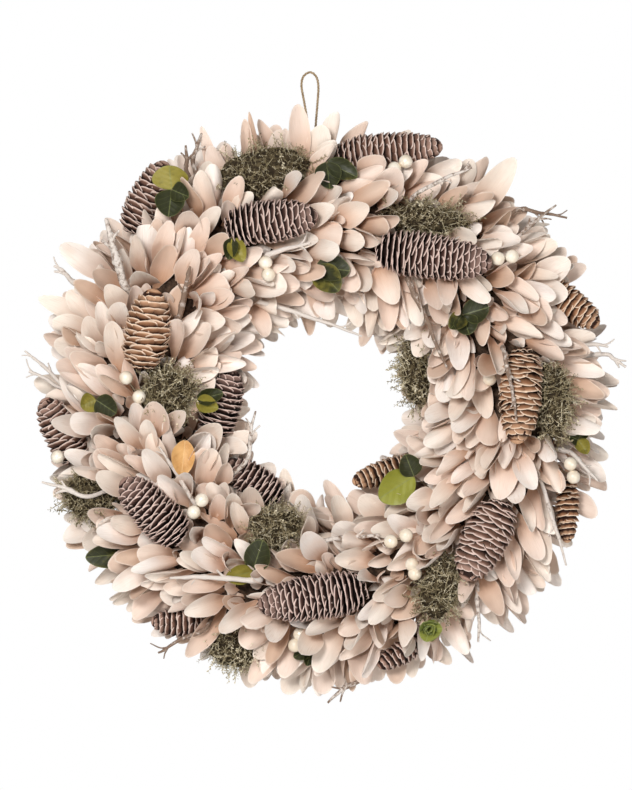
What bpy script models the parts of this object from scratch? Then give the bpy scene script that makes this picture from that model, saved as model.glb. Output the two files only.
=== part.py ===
"""A christmas wreath: wood-shaving petals, cones, moss, box leaves, beads and twigs.

Metres, +Z up. The wreath hangs in the XZ plane and its front faces -Y. The origin is the
inside of the top of the twine loop, where a nail or a hook holds it.

Places inside the wreath are written in millimetres from the middle of the ring: x to the
right, z up, and depth towards the back, so a negative depth lies nearer to the viewer.
Everything sweeps clockwise, as seen from the front.
"""
import math
import random

import bmesh
import bpy
from mathutils import Matrix, Vector
from mathutils.bvhtree import BVHTree

MM = 0.001
GAP = 0.4                        # mm between two pieces that touch
MERGE_DISTANCE = 2e-6            # metres
SEED = 24

# The middle of the ring, seen from the hook.
CENTRE = Vector((0.0104, -0.0145, -0.2210))

# Base ring: a wound straw ring with a flat back.
RING_RADIUS = 121.0              # mm, middle of the straw
RING_STEP = 15                   # degrees between two sections of the ring
RING_SECTION = (                 # radial offset and depth, outer back edge to inner back edge
    (23, 18), (29, 9), (28, -4), (19, -15), (0, -20), (-19, -15), (-28, -4), (-29, 9), (-23, 18))

# Petal bed: the glued feet of the petals, a skin over the front of the straw.
BED_THICKNESS = 3.6
BED_SECTORS = 6
BED_FIRST = 15                   # clock degrees where the first sector starts
BED_SLIT = 0.18                  # degrees left free at each end of a sector

# Hanging loop and its binding.
TWINE = 1.7
BINDING_CLOCK = -3.3             # clock degrees of the binding
GROOVE_HALF = 1.3                # degrees
BAND_HALF = 1.0
GROOVE_DEPTH = 2.0
KNOT_RADIUS = 3.0
KNOT_RADIAL = 27.5               # mm outwards from the middle of the straw
LOOP_DEPTH = 14.5                # depth of the loop, which puts it at y = 0
LOOP_ROUTE = (                   # x and z of the loop, from the knot over the hook and back
    (-9.9, 150.95), (-10.3, 160), (-10.6, 171.6), (-11.8, 187), (-14.9, 205), (-16.2, 213),
    (-14.9, 219), (-10.4, 221.85), (-6.4, 219), (-4.9, 213), (-5.2, 205), (-6.5, 189),
    (-7.6, 171.6), (-7.5, 160), (-7.2, 150.95))
LOOP_STEPS = 2                   # points read from the smooth curve for each stretch

# Petals.
PETAL_LENGTH = 37.0
PETAL_WIDTH = 19.0
PETAL_THICKNESS = 0.8
PETAL_SINK = 2.2                 # how deep a foot goes into the bed
PETAL_PITCH = 33.0               # mm between two blooms of a row
# For each row, from the outer side to the inner side: place along the bed's section from 0
# to 1, lean outwards from the clockwise heading, rise towards the viewer, petals in a bloom.
PETAL_ROWS = (
    (0.07, 68, 3, 1), (0.20, 62, 18, 2), (0.34, 40, 30, 2), (0.50, 6, 34, 3),
    (0.66, -30, 30, 2), (0.80, -54, 20, 2), (0.93, -72, 6, 1))
BLOOM_FAN = 30                   # degrees between two petals of a bloom
FOOT_SPREAD = 4.6                # mm between two feet of a bloom
PETAL_FRONT = 0.6                # how far a petal's face is turned to the viewer
PETAL_OFF_STRAW = 0.8            # and how far it is turned away from the straw
BENDS = (                        # degrees of rise and of lean that clear a petal's neighbours
    (0, 0), (9, 0), (-9, 0), (0, 13), (0, -13), (18, 0), (12, 15), (12, -15), (28, 0),
    (22, 24), (22, -24))
# A blade's outline: place along it, side as a share of the width, and share of the cup.
BLADE_OUTLINE = (
    (0.0, 0.0, 0.0), (0.52, 0.5, 1.0), (0.87, 0.33, 0.8), (1.0, 0.0, 0.4), (0.87, -0.33, 0.8),
    (0.52, -0.5, 1.0))
BLADE_MIDDLE = (0.55, 0.0, 0.0)

# Cones: x and z of the base, x and z of the tip, diameter, finish.
CONES = {
    "cone_01": (-128.7, 113.1, -104.0, 159.9, 28, "cone_brown"),
    "cone_02": (-65.7, 115.7, -4.6, 122.2, 30, "cone_dark"),
    "cone_03": (6.5, 165.1, 76.7, 169.0, 27, "cone_brown"),
    "cone_04": (31.2, 101.4, 106.6, 91.0, 32, "cone_dark"),
    "cone_05": (143.0, 80.6, 178.1, 52.0, 24, "cone_tan"),
    "cone_06": (127.4, 37.7, 122.2, -24.7, 31, "cone_tan"),
    "cone_07": (114.4, -61.1, 88.4, -111.8, 34, "cone_brown"),
    "cone_08": (158.6, -46.8, 157.3, -89.7, 18, "cone_tan"),
    "cone_09": (61.1, -36.4, 16.9, -50.0, 20, "cone_tan"),
    "cone_10": (27.3, -118.3, -44.2, -127.4, 32, "cone_dark"),
    "cone_11": (64.4, -152.1, 33.8, -170.3, 19, "cone_brown"),
    "cone_12": (-92.3, -87.1, -131.3, -46.8, 31, "cone_dark"),
    "cone_13": (-161.2, -37.7, -184.6, 5.2, 28, "cone_brown"),
    "cone_14": (-119.6, 23.4, -109.9, 75.4, 33, "cone_tan"),
    "cone_15": (-75.4, -23.4, -60.5, 24.7, 28, "cone_dark"),
    "cone_16": (-29.9, -62.4, -65.0, -36.4, 26, "cone_dark"),
    "cone_17": (-76.7, -144.3, -114.4, -140.4, 22, "cone_brown")}
CONE_RISE = 8                    # degrees that a tip is lifted towards the viewer
CONE_PROFILE = (                 # place along the cone and radius as a share of the largest
    (0.0, 0.34), (0.08, 0.76), (0.22, 0.95), (0.40, 1.0), (0.60, 0.93), (0.78, 0.74),
    (0.92, 0.45), (1.0, 0.20))
SCALE_LENGTH = 10.6              # mm of cone for each row of scales
SCALE_NOTCH = 0.62               # place of the notch behind a row of scales, along the row
SCALE_DIP = 0.80                 # radius in that notch as a share
SCALE_POINT = 0.30               # how far a scale reaches ahead, as a share of its row
SCALE_SIDE = 0.88                # radius between two scales of a row as a share
CONE_ROOM = (-0.02, 0.08, 0.3, 0.55, 0.8, 1.03)   # places along the room cut for a cone
CONE_ROOM_SIDES = 10
CONE_ROOM_SPARE = 1.04
CONE_WIRE_PLACES = (0.2, 0.35, 0.5, 0.65, 0.8)    # where a wire may leave a cone

# Moss tufts: x and z of the middle, width, height, turn of the width in degrees.
MOSS = {
    "moss_01": (-41.6, 152.1, 64, 32, 12), "moss_02": (66.4, 121.0, 56, 20, -4),
    "moss_03": (58.0, 24.0, 20, 50, 6), "moss_04": (147.9, 2.6, 22, 48, 0),
    "moss_05": (73.0, -119.0, 26, 46, -14), "moss_06": (-57.0, -156.0, 42, 31, 6),
    "moss_07": (-33.0, -78.0, 36, 26, 18), "moss_08": (-154.1, -59.9, 38, 28, -24),
    "moss_09": (-101.1, 8.7, 34, 32, 20)}
MOSS_THICKNESS = 20.0
MOSS_RINGS = 5
MOSS_SIDES = 11
MOSS_LUMPS = (0.80, 1.14)        # least and most radius of a tuft as a share
MOSS_CLEARANCE = 1.03            # growth that keeps a tuft off the bed

# Box leaves. For each sprig: x and z of its stem, height over the bed's crest, then for
# each leaf its heading in degrees from +x, its length and its width.
LEAVES = {
    "box_sprig_01": (-99.5, 139.5, 12, ((95, 16, 22), (-95, 20, 18), (-25, 15, 12))),
    "box_sprig_02": (-60.5, 108.0, 12, ((-66, 18, 11), (-96, 16, 9))),
    "box_sprig_03": (0.5, 158.0, 4, ((-28, 23, 13), (-84, 20, 16))),
    "box_sprig_04": (-6.5, 90.0, 9, ((-8, 23, 16), (-48, 24, 17))),
    "box_sprig_05": (88.5, 59.0, 6, ((16, 18, 15), (-74, 15, 15), (-132, 15, 11))),
    "box_sprig_06": (-149.0, 4.0, 4, ((205, 11, 12), (-32, 18, 14))),
    "box_sprig_07": (-84.0, 4.0, 2, ((14, 19, 10), (-22, 17, 11))),
    "box_sprig_08": (-129.5, -96.5, -10, ((184, 28, 15),)),
    "box_sprig_09": (-47.5, -107.0, 6, ((72, 23, 16), (192, 19, 12))),
    "box_sprig_10": (-8.5, -156.5, -4, ((208, 15, 9), (-108, 14, 8), (-62, 16, 9))),
    "box_sprig_11": (57.0, -45.5, 2, ((212, 28, 21), (112, 17, 14))),
    "box_sprig_12": (164.5, -22.0, -8, ((72, 12, 9), (-58, 12, 9), (160, 9, 8))),
    "lime_rosette": (66.5, -144.5, -2, ((10, 12, 13), (130, 12, 13), (250, 14, 13))),
    "orange_leaf": (-91.0, -22.0, 8, ((-95, 24, 14),))}
LEAF_THICKNESS = 0.9
LEAF_RISE = 16                   # degrees that the first leaf of a sprig stands up
LEAF_RISE_STEP = 7               # more for each further leaf
ROSETTE_RISE = 42

# Beads on wire: x and z of each bead, and the height over the bed's crest.
BEADS = {
    "beads_01": (((44.2, 153.4), (51.4, 158.0)), 8), "beads_02": (((-39.0, 92.3), (-37.1, 84.5)), 16),
    "beads_03": (((110.5, 94.9), (119.6, 96.2)), 15), "beads_04": (((-128.7, 18.2), (-120.3, 5.9)), 14),
    "beads_05": (((-85.2, -68.3), (-80.0, -60.5)), 14), "beads_06": (((-16.9, -147.6), (-20.2, -154.7)), 6),
    "beads_07": (((41.6, -87.1), (51.4, -83.2)), 14), "beads_08": (((55.3, -102.1), (57.2, -107.9)), 12),
    "beads_09": (((160.6, -46.1), (158.6, -37.6)), 0), "bead_10": (((105.3, 17.6),), 12),
    "bead_11": (((-174.2, -33.0),), -2)}
BEAD_DIAMETER = 9.0
WIRE = 1.6
CONE_WIRE = 2.4
WIRE_STOP = 1.2                  # gaps between the end of a wire and the bed
CREST = RING_SECTION[4][1] - BED_THICKNESS   # depth of the bed's front

# Twigs: x and z of the visible foot, x and z of the tip, thickness, height over the crest.
TWIGS = (
    (-89.7, 150.2, -91.0, 169.7, 2.2, -6), (-86.5, 157.0, -81.3, 176.8, 2.2, -6),
    (-130.0, 78.0, -141.7, 119.6, 4.2, 12), (-162.5, 79.3, -177.5, 91.0, 2.4, -8),
    (-167.7, 10.4, -197.0, 36.4, 2.0, -12), (-172.9, 11.7, -194.4, 22.8, 2.0, -14),
    (-94.9, 56.0, -86.5, 89.7, 2.6, 14), (-92.3, 0.0, -80.0, 18.9, 2.6, 10),
    (-52.0, -36.4, -45.5, -3.3, 2.0, 0), (-84.5, -63.7, -107.9, -26.0, 2.2, 16),
    (-153.4, -58.5, -183.3, -49.4, 2.2, -4), (-44.2, -112.0, -100.3, -110.4, 2.6, 14),
    (-78.0, -144.3, -109.2, -159.9, 2.2, -2), (23.4, -176.8, 1.3, -193.7, 2.4, -14),
    (97.5, -113.1, 98.8, -152.1, 2.2, 2), (139.1, -48.1, 155.4, -103.4, 2.0, 2),
    (169.0, 39.7, 184.6, 38.4, 2.2, -12), (180.7, 33.8, 195.7, 25.4, 2.2, -14),
    (122.9, 126.7, 156.0, 121.6, 2.0, 0), (120.9, 106.6, 148.2, 129.4, 2.0, 4),
    (57.2, 136.0, 93.6, 153.4, 2.2, 14), (61.1, 107.3, 94.9, 102.7, 2.2, 24),
    (-49.4, 93.6, -10.4, 104.7, 3.0, 12), (-46.2, 68.9, 23.4, 45.3, 2.2, -2),
    (53.3, 80.6, 78.0, 24.1, 2.4, 10), (113.1, 36.4, 121.6, -9.1, 2.0, 24),
    (-3.9, -88.4, 35.1, -83.2, 2.4, 8), (158.6, -29.9, 176.2, -48.8, 2.4, -8))

TWIG_RISE = 3.0                  # mm that a tip lies nearer to the viewer than its foot
TWIG_TAPER = 0.45                # width of a tip as a share of its foot
HEIGHT_TRIES = 50                # places tried towards the front and the back, 1 mm apart

# Single petals that stand out of the outline: foot, tip, width, height over the crest.
LONE_PETALS = (
    (-56.5, 160.0, -52.9, 187.2, 7.0, -6), (-49.0, 160.0, -49.8, 190.0, 5.0, -10),
    (-16.5, 164.0, -18.5, 194.0, 13.0, -4), (-74.0, 150.0, -80.6, 180.0, 8.0, -8),
    (-33.8, 160.0, -30.0, 181.0, 11.0, -12), (108.0, 140.0, 122.0, 160.0, 14.0, -6),
    (-160.0, 60.0, -186.0, 70.0, 13.0, -10), (-150.0, 92.0, -171.0, 104.0, 14.0, -6))


def place(x, z, depth):
    """World position of a place that is given in millimetres from the ring's middle."""
    return CENTRE + Vector((x, depth, z)) * MM


def clock_frame(clock):
    """Outward and clockwise directions at a clock angle, in degrees from the top."""
    angle = math.radians(clock)
    outward = Vector((math.sin(angle), 0, math.cos(angle)))
    clockwise = Vector((math.cos(angle), 0, -math.sin(angle)))
    return outward, clockwise


def ring_place(clock, radial, depth):
    """World position on the faceted ring from a clock angle and a place in its section."""
    outward, _ = clock_frame(clock)
    half = RING_STEP / 2
    facet = math.cos(math.radians(half)) / math.cos(math.radians(clock % RING_STEP - half))
    reach = (RING_RADIUS + radial) * facet
    return place(outward.x * reach, outward.z * reach, depth)


def grown_section(distance):
    """The ring's section, moved outwards by a distance in mm, with its corners kept."""
    count = len(RING_SECTION)
    grown = []
    for index in range(count):
        before, here, after = (Vector(RING_SECTION[(index + step) % count]) for step in (-1, 0, 1))
        normals = []
        for start, end in ((before, here), (here, after)):
            along = (end - start).normalized()
            normals.append(Vector((-along.y, along.x)))
        middle = (normals[0] + normals[1]).normalized()
        grown.append(here + middle * (distance / middle.dot(normals[0])))
    return grown


def finish(name, colour, roughness):
    """A Principled material with one plain colour."""
    material = bpy.data.materials.new(name)
    material.use_nodes = True
    shader = material.node_tree.nodes["Principled BSDF"]
    shader.inputs["Base Color"].default_value = (*colour, 1.0)
    shader.inputs["Roughness"].default_value = roughness
    return material


def keep_outer_skin(mesh):
    """Drop loose scraps and fill closed hollows, so that one skin is left."""
    work = bmesh.new()
    work.from_mesh(mesh)
    bmesh.ops.remove_doubles(work, verts=work.verts, dist=MERGE_DISTANCE)
    bmesh.ops.triangulate(work, faces=work.faces)
    bodies = []
    seen = set()
    for face in work.faces:
        if face in seen:
            continue
        body = [face]
        seen.add(face)
        for member in body:
            for edge in member.edges:
                for other in edge.link_faces:
                    if other not in seen:
                        seen.add(other)
                        body.append(other)
        volume = sum(f.verts[0].co.dot(f.verts[1].co.cross(f.verts[2].co)) for f in body) / 6
        bodies.append((volume, body))
    bodies.sort(key=lambda item: item[0], reverse=True)
    for _, body in bodies[1:]:
        bmesh.ops.delete(work, geom=body, context="FACES")
    loose = [vertex for vertex in work.verts if not vertex.link_faces]
    bmesh.ops.delete(work, geom=loose, context="VERTS")
    work.to_mesh(mesh)
    work.free()


def shape_mesh(name, shape):
    """A mesh from a shape, which is a pair of vertices and faces."""
    vertices, faces = shape
    mesh = bpy.data.meshes.new(name)
    mesh.from_pydata(vertices, [], faces)
    work = bmesh.new()
    work.from_mesh(mesh)
    bmesh.ops.recalc_face_normals(work, faces=work.faces)
    work.to_mesh(mesh)
    work.free()
    return mesh


def combine(body, shapes, operation):
    """Join shapes to a body, or cut them from it, with one Boolean on a collection."""
    operands = bpy.data.collections.new(body.name + "_operands")
    bpy.context.scene.collection.children.link(operands)
    for index, shape in enumerate(shapes):
        name = f"{body.name}_operand_{index}"
        operand = bpy.data.objects.new(name, shape_mesh(name, shape))
        operand.hide_render = True
        operands.objects.link(operand)
    boolean = body.modifiers.new("boolean", "BOOLEAN")
    boolean.operation = operation
    boolean.operand_type = "COLLECTION"
    boolean.collection = operands
    boolean.solver = "MANIFOLD"
    depsgraph = bpy.context.evaluated_depsgraph_get()
    joined = bpy.data.meshes.new_from_object(body.evaluated_get(depsgraph))
    body.modifiers.clear()
    body.data = joined
    for operand in list(operands.objects):
        bpy.data.objects.remove(operand)
    bpy.data.collections.remove(operands)
    keep_outer_skin(joined)


def solid(name, shapes, material, cuts=()):
    """One closed body from shapes that overlap each other, with other shapes cut away."""
    body = bpy.data.objects.new(name, shape_mesh(name, shapes[0]))
    bpy.context.scene.collection.objects.link(body)
    if len(shapes) > 1:
        combine(body, shapes[1:], "UNION")
    if cuts:
        combine(body, cuts, "DIFFERENCE")
    body.data.materials.clear()
    body.data.materials.append(material)
    for polygon in body.data.polygons:
        polygon.material_index = 0
    return body


def tree(shapes):
    """A search tree over shapes, to find what crosses them."""
    points = []
    faces = []
    for vertices, polygons in shapes:
        start = len(points)
        points.extend(vertices)
        faces.extend([[start + index for index in polygon] for polygon in polygons])
    return BVHTree.FromPolygons(points, faces)


def mesh_shape(body):
    """The shape of a finished body."""
    vertices = [vertex.co.copy() for vertex in body.data.vertices]
    return vertices, [list(polygon.vertices) for polygon in body.data.polygons]


def crosses(shape, trees):
    """True where a shape cuts through any of the search trees."""
    own = tree([shape])
    return any(own.overlap(other) for other in trees)


def moved(shape, shift):
    """A shape moved by a vector."""
    return [vertex + shift for vertex in shape[0]], shape[1]


def sweep(sections, closed_path=False):
    """A skin over sections of equal length. An open path gets a cap at each end."""
    count = len(sections[0])
    vertices = [point for section in sections for point in section]
    faces = []
    spans = len(sections) if closed_path else len(sections) - 1
    for span in range(spans):
        here = span * count
        there = (span + 1) % len(sections) * count
        for side in range(count):
            after = (side + 1) % count
            faces.append((here + side, here + after, there + after, there + side))
    if not closed_path:
        faces.append(tuple(range(count)))
        faces.append(tuple(range(len(vertices) - count, len(vertices))))
    return vertices, faces


def rod(points, widths, sides=4):
    """A thin rod through points, with a width at each one."""
    sections = []
    for index, point in enumerate(points):
        before = points[max(index - 1, 0)]
        after = points[min(index + 1, len(points) - 1)]
        along = (after - before).normalized()
        across = along.orthogonal().normalized()
        if index:
            across = (last - along * last.dot(along)).normalized()
        last = across
        other = along.cross(across)
        radius = widths[index] * MM / 2
        turns = [2 * math.pi * side / sides for side in range(sides)]
        sections.append([point + (across * math.cos(t) + other * math.sin(t)) * radius for t in turns])
    return sweep(sections)


def blade(foot, forward, face, length, width, thickness, cup, curl, margin=0.0):
    """A thin cupped petal or leaf. Sizes are in mm, and a margin makes it fatter all round."""
    length = length + margin
    width = width + 2 * margin
    thickness = thickness + 2 * margin
    forward = forward.normalized()
    face = (face - forward * face.dot(forward)).normalized()
    right = forward.cross(face)

    def at(along, aside, lift):
        bent = curl * length * along * along
        offset = forward * (length * along) + right * (width * aside) + face * (bent + cup * lift)
        return foot + offset * MM

    points = [at(*spot) for spot in (*BLADE_OUTLINE, BLADE_MIDDLE)]
    half = face * (thickness * MM / 2)
    front = [point + half for point in points]
    back = [point - half for point in points]
    rim = len(BLADE_OUTLINE)
    count = len(points)
    top = [(0, rim, 5), (0, 1, rim), (5, rim, 4), (rim, 2, 4), (rim, 1, 2), (4, 2, 3)]
    faces = list(top)
    faces.extend([(c + count, b + count, a + count) for a, b, c in top])
    for index in range(rim):
        after = (index + 1) % rim
        faces.append((index, index + count, after + count))
        faces.append((index, after + count, after))
    return front + back, faces


def ball(middle, radius, rings=4, sides=8, margin=0.0):
    """A round ball from rings of points."""
    radius = (radius + margin) * MM
    vertices = [middle + Vector((0, -radius, 0))]
    for ring in range(1, rings):
        polar = math.pi * ring / rings
        for side in range(sides):
            turn = 2 * math.pi * side / sides
            wide = math.sin(polar)
            offset = Vector((wide * math.cos(turn), -math.cos(polar), wide * math.sin(turn)))
            vertices.append(middle + offset * radius)
    vertices.append(middle + Vector((0, radius, 0)))
    faces = [(0, 1 + side, 1 + (side + 1) % sides) for side in range(sides)]
    for ring in range(rings - 2):
        start = 1 + ring * sides
        for side in range(sides):
            after = (side + 1) % sides
            faces.append((start + side, start + sides + side, start + sides + after, start + after))
    start = 1 + (rings - 2) * sides
    last = len(vertices) - 1
    faces.extend([(start + side, last, start + (side + 1) % sides) for side in range(sides)])
    return vertices, faces


def make_ring(material):
    """The straw ring, with a groove for the binding."""
    plain = grown_section(0)
    grooved = grown_section(-GROOVE_DEPTH)
    stations = [(clock, plain) for clock in range(0, 360, RING_STEP)]
    start = BINDING_CLOCK + 360
    stations.append((start - GROOVE_HALF - 0.1, plain))
    stations.append((start - GROOVE_HALF, grooved))
    stations.append((start + GROOVE_HALF, grooved))
    stations.append((start + GROOVE_HALF + 0.1, plain))
    stations.sort(key=lambda station: station[0])
    sections = [[ring_place(clock, *point) for point in section] for clock, section in stations]
    return solid("straw_ring", [sweep(sections, closed_path=True)], material)


def make_binding(material):
    """The turn of twine in the groove, with the knot that holds the loop."""
    outer = grown_section(-GAP)
    inner = grown_section(GAP - GROOVE_DEPTH)
    edges = ((-BAND_HALF, outer), (BAND_HALF, outer), (BAND_HALF, inner), (-BAND_HALF, inner))
    corners = [[ring_place(BINDING_CLOCK + clock, *point) for point in section] for clock, section in edges]
    sections = [list(corner) for corner in zip(*corners)]
    knot = ball(ring_place(BINDING_CLOCK, KNOT_RADIAL, LOOP_DEPTH), KNOT_RADIUS, rings=5)
    return solid("string_binding", [sweep(sections, closed_path=True), knot], material)


def smooth_route(points, steps):
    """Points of a smooth curve through the given ones."""
    route = []
    for index in range(len(points) - 1):
        before = points[max(index - 1, 0)]
        start, end = points[index], points[index + 1]
        after = points[min(index + 2, len(points) - 1)]
        for step in range(steps):
            t = step / steps
            route.append(0.5 * (2 * start + (end - before) * t
                                + (2 * before - 5 * start + 4 * end - after) * t * t
                                + (3 * start - before - 3 * end + after) * t ** 3))
    route.append(points[-1])
    return route


def make_loop(material):
    """The twine loop, a round cord through its route."""
    route = smooth_route([place(x, z, LOOP_DEPTH) for x, z in LOOP_ROUTE], LOOP_STEPS)
    curve = bpy.data.curves.new("hanging_loop", "CURVE")
    curve.dimensions = "3D"
    curve.bevel_depth = TWINE * MM / 2
    curve.bevel_resolution = 2
    curve.use_fill_caps = True
    spline = curve.splines.new("POLY")
    spline.points.add(len(route) - 1)
    for point, position in zip(spline.points, route):
        point.co = (*position, 1.0)
    curve.materials.append(material)
    loop = bpy.data.objects.new("hanging_loop", curve)
    bpy.context.scene.collection.objects.link(loop)
    return loop


def bed_shape(sector, inner, outer):
    """One sector of the petal bed, between two distances from the straw."""
    start = BED_FIRST + sector * 360 // BED_SECTORS
    end = start + 360 // BED_SECTORS
    clocks = [start + BED_SLIT, *range(start + RING_STEP, end, RING_STEP), end - BED_SLIT]
    low = grown_section(inner)[1:-1]
    high = grown_section(outer)[1:-1]
    section = high + low[::-1]
    return sweep([[ring_place(clock, *point) for point in section] for clock in clocks])


def cone_radius(share):
    """Radius of a cone at a place along it, as a share of its largest radius."""
    for (start, low), (end, high) in zip(CONE_PROFILE, CONE_PROFILE[1:]):
        if share <= end:
            return low + (high - low) * (share - start) / (end - start)
    return CONE_PROFILE[-1][1]


def cone_axis(x0, z0, x1, z1):
    """Base and direction of a cone whose middle lies at no depth, and its length."""
    base = place(x0, z0, 0)
    tip = place(x1, z1, 0)
    flat = tip - base
    rise = Vector((0, -flat.length * math.tan(math.radians(CONE_RISE)), 0))
    return base - rise / 2, (flat + rise).normalized(), (flat + rise).length / MM


def cone_shape(entry, margin=0.0):
    """A cone as staggered rows of scales round its axis."""
    x0, z0, x1, z1, diameter, _ = entry
    base, along, length = cone_axis(x0, z0, x1, z1)
    across = along.cross(Vector((0, 1, 0))).normalized()
    other = along.cross(across)
    rows = max(4, round(length / SCALE_LENGTH))
    sides = 10 if diameter > 31 else 8
    radius = diameter / 2 + margin
    sections = []
    for row in range(rows):
        for share, shrink in ((row / rows, 1.0), ((row + SCALE_NOTCH) / rows, SCALE_DIP)):
            section = []
            for side in range(sides):
                on_scale = (side + row) % 2 == 0
                ahead = SCALE_POINT / rows if on_scale and shrink == 1.0 else 0.0
                reach = radius * cone_radius(share) * shrink * (1.0 if on_scale else SCALE_SIDE)
                turn = 2 * math.pi * side / sides
                aside = across * math.cos(turn) + other * math.sin(turn)
                section.append(base + (along * (length * (share + ahead)) + aside * reach) * MM)
            sections.append(section)
    end = base + along * (length * MM)
    tip_radius = radius * cone_radius(1.0) * MM
    turns = [2 * math.pi * side / sides for side in range(sides)]
    sections.append([end + (across * math.cos(t) + other * math.sin(t)) * tip_radius for t in turns])
    return sweep(sections)


def cone_envelope(entry, margin):
    """A plain turned solid that a cone fits inside, to cut its room out of the moss."""
    x0, z0, x1, z1, diameter, _ = entry
    base, along, length = cone_axis(x0, z0, x1, z1)
    across = along.cross(Vector((0, 1, 0))).normalized()
    other = along.cross(across)
    sections = []
    turns = [2 * math.pi * (side + 0.5) / CONE_ROOM_SIDES for side in range(CONE_ROOM_SIDES)]
    for share in CONE_ROOM:
        reach = (diameter / 2 * cone_radius(max(share, 0.05)) * CONE_ROOM_SPARE + margin) * MM
        middle = base + along * (length * share * MM)
        sections.append([middle + (across * math.cos(t) + other * math.sin(t)) * reach for t in turns])
    return sweep(sections)


def moss_shape(entry, draw):
    """A lumpy tuft of moss with a ragged rim."""
    x, z, width, height, turn = entry
    vertices, faces = ball(Vector((0, 0, 0)), 0.5 / MM, MOSS_RINGS, MOSS_SIDES)
    turned = Matrix.Rotation(math.radians(-turn), 3, "Y")
    size = Vector((width, MOSS_THICKNESS, height)) * MM
    lumpy = []
    for vertex in vertices:
        swell = draw.uniform(*MOSS_LUMPS)
        lumpy.append(turned @ (vertex * size * swell))
    return moved((lumpy, faces), place(x, z, 0))


def brought_forward(shapes, start, trees, step=0.5, limit=140):
    """The shift that brings shapes from a depth to the first place where they are clear."""
    for index in range(limit):
        shift = Vector((0, (start - index * step) * MM, 0))
        if not any(crosses(moved(shape, shift), trees) for shape in shapes):
            break
    return shift


def wire_to_bed(starts, bed, obstacles, width):
    """The shortest clear wire from one of some starting points to just off the bed."""
    wires = []
    for start in starts:
        spot, _, _, distance = bed.find_nearest(start)
        if distance < 3 * GAP * MM:
            continue
        end = spot - (spot - start).normalized() * (WIRE_STOP * GAP * MM)
        if not crosses(rod([start, end], [width + 2 * GAP] * 2), obstacles):
            wires.append((distance, rod([start, end], [width] * 2, 3)))
    wires.sort(key=lambda wire: wire[0])
    return [wire for _, wire in wires[:1]]


def make_cones(bed, placed):
    """The cones lie on the bed, or beside it on a wire."""
    finishes = {
        "cone_brown": finish("cone_brown", (0.36, 0.22, 0.16), 0.8),
        "cone_dark": finish("cone_dark", (0.25, 0.15, 0.11), 0.8),
        "cone_tan": finish("cone_tan", (0.50, 0.29, 0.17), 0.8)}
    shifts = {}
    for name, entry in CONES.items():
        reach = math.hypot((entry[0] + entry[2]) / 2, (entry[1] + entry[3]) / 2)
        beside = abs(reach - RING_RADIUS) > RING_SECTION[1][0]
        start = CREST / 2 if beside else CREST
        shifts[name] = brought_forward([cone_shape(entry, GAP)], start, [bed, *placed.values()])
        placed[name] = tree([moved(cone_shape(entry), shifts[name])])
    for name, entry in CONES.items():
        shape = moved(cone_shape(entry), shifts[name])
        base, along, length = cone_axis(*entry[:4])
        base = base + shifts[name]
        starts = [base + along * (length * share * MM) for share in CONE_WIRE_PLACES]
        others = [other for key, other in placed.items() if key != name]
        seated = min(bed.find_nearest(vertex)[3] for vertex in shape[0]) < 2 * GAP * MM
        wires = [] if seated else wire_to_bed(starts, bed, others, CONE_WIRE)
        body = solid(name, [shape, *wires], finishes[entry[5]])
        placed[name] = tree([mesh_shape(body)])
    return [moved(cone_envelope(entry, 2 * GAP), shifts[name]) for name, entry in CONES.items()]


def make_moss(bed, placed, cone_rooms):
    """The moss tufts lie on the bed and fill the room between the cones."""
    material = finish("moss", (0.13, 0.11, 0.05), 0.95)
    draw = random.Random(SEED + 1)
    for name, entry in MOSS.items():
        shape = moss_shape(entry, draw)
        middle = place(entry[0], entry[1], 0)
        fat = [middle + (vertex - middle) * MOSS_CLEARANCE for vertex in shape[0]], shape[1]
        shift = brought_forward([fat], CREST / 2, [bed])
        body = solid(name, [moved(shape, shift)], material, cone_rooms)
        placed[name] = tree([mesh_shape(body)])


def sprig_shapes(name, margin=0.0):
    """The stem and the leaves of a sprig, at no depth."""
    x, z, _, leaves = LEAVES[name]
    stem = place(x, z, 0)
    rise = ROSETTE_RISE if name == "lime_rosette" else LEAF_RISE
    shapes = [ball(stem, WIRE, 2, 4, margin)]
    for number, (heading, length, width) in enumerate(leaves):
        angle = math.radians(heading)
        lift = math.radians(rise + LEAF_RISE_STEP * number)
        forward = Vector((math.cos(angle), -math.tan(lift), math.sin(angle)))
        face = Vector((0, -1, 0))
        shapes.append(blade(stem, forward, face, length, width, LEAF_THICKNESS, 1.8, -0.04, margin))
    return shapes


def bead_shapes(name, margin=0.0):
    """The beads of a pick and the wire between them, at no depth."""
    spots = [place(x, z, 0) for x, z in BEADS[name][0]]
    shapes = [ball(spot, BEAD_DIAMETER / 2, 4, 6, margin) for spot in spots]
    if len(spots) > 1:
        shapes.append(rod(spots, [WIRE + 1 + 2 * margin] * 2))
    return shapes


def make_picks(bed, placed):
    """The leaf sprigs and the beads stand on wires among the cones and the moss."""
    green = finish("box_leaf", (0.06, 0.09, 0.03), 0.35)
    leaf_finishes = {
        "lime_rosette": finish("lime_leaf", (0.24, 0.28, 0.05), 0.4),
        "orange_leaf": finish("orange_leaf", (0.55, 0.27, 0.09), 0.6)}
    ivory = finish("bead_ivory", (0.83, 0.72, 0.56), 0.25)
    picks = []
    for name, entry in LEAVES.items():
        picks.append((name, sprig_shapes, entry[2], leaf_finishes.get(name, green)))
    for name, entry in BEADS.items():
        picks.append((name, bead_shapes, entry[1], ivory))
    for name, shapes_of, height, material in picks:
        shift = brought_forward(shapes_of(name, GAP), CREST - height, [bed, *placed.values()])
        shapes = [moved(shape, shift) for shape in shapes_of(name)]
        starts = [sum(shape[0], Vector()) / len(shape[0]) for shape in shapes]
        wires = wire_to_bed(starts, bed, list(placed.values()), WIRE)
        if not wires:
            print(name, "has no wire")
        body = solid(name, [*shapes, *wires], material)
        placed[name] = tree([mesh_shape(body)])


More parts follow.
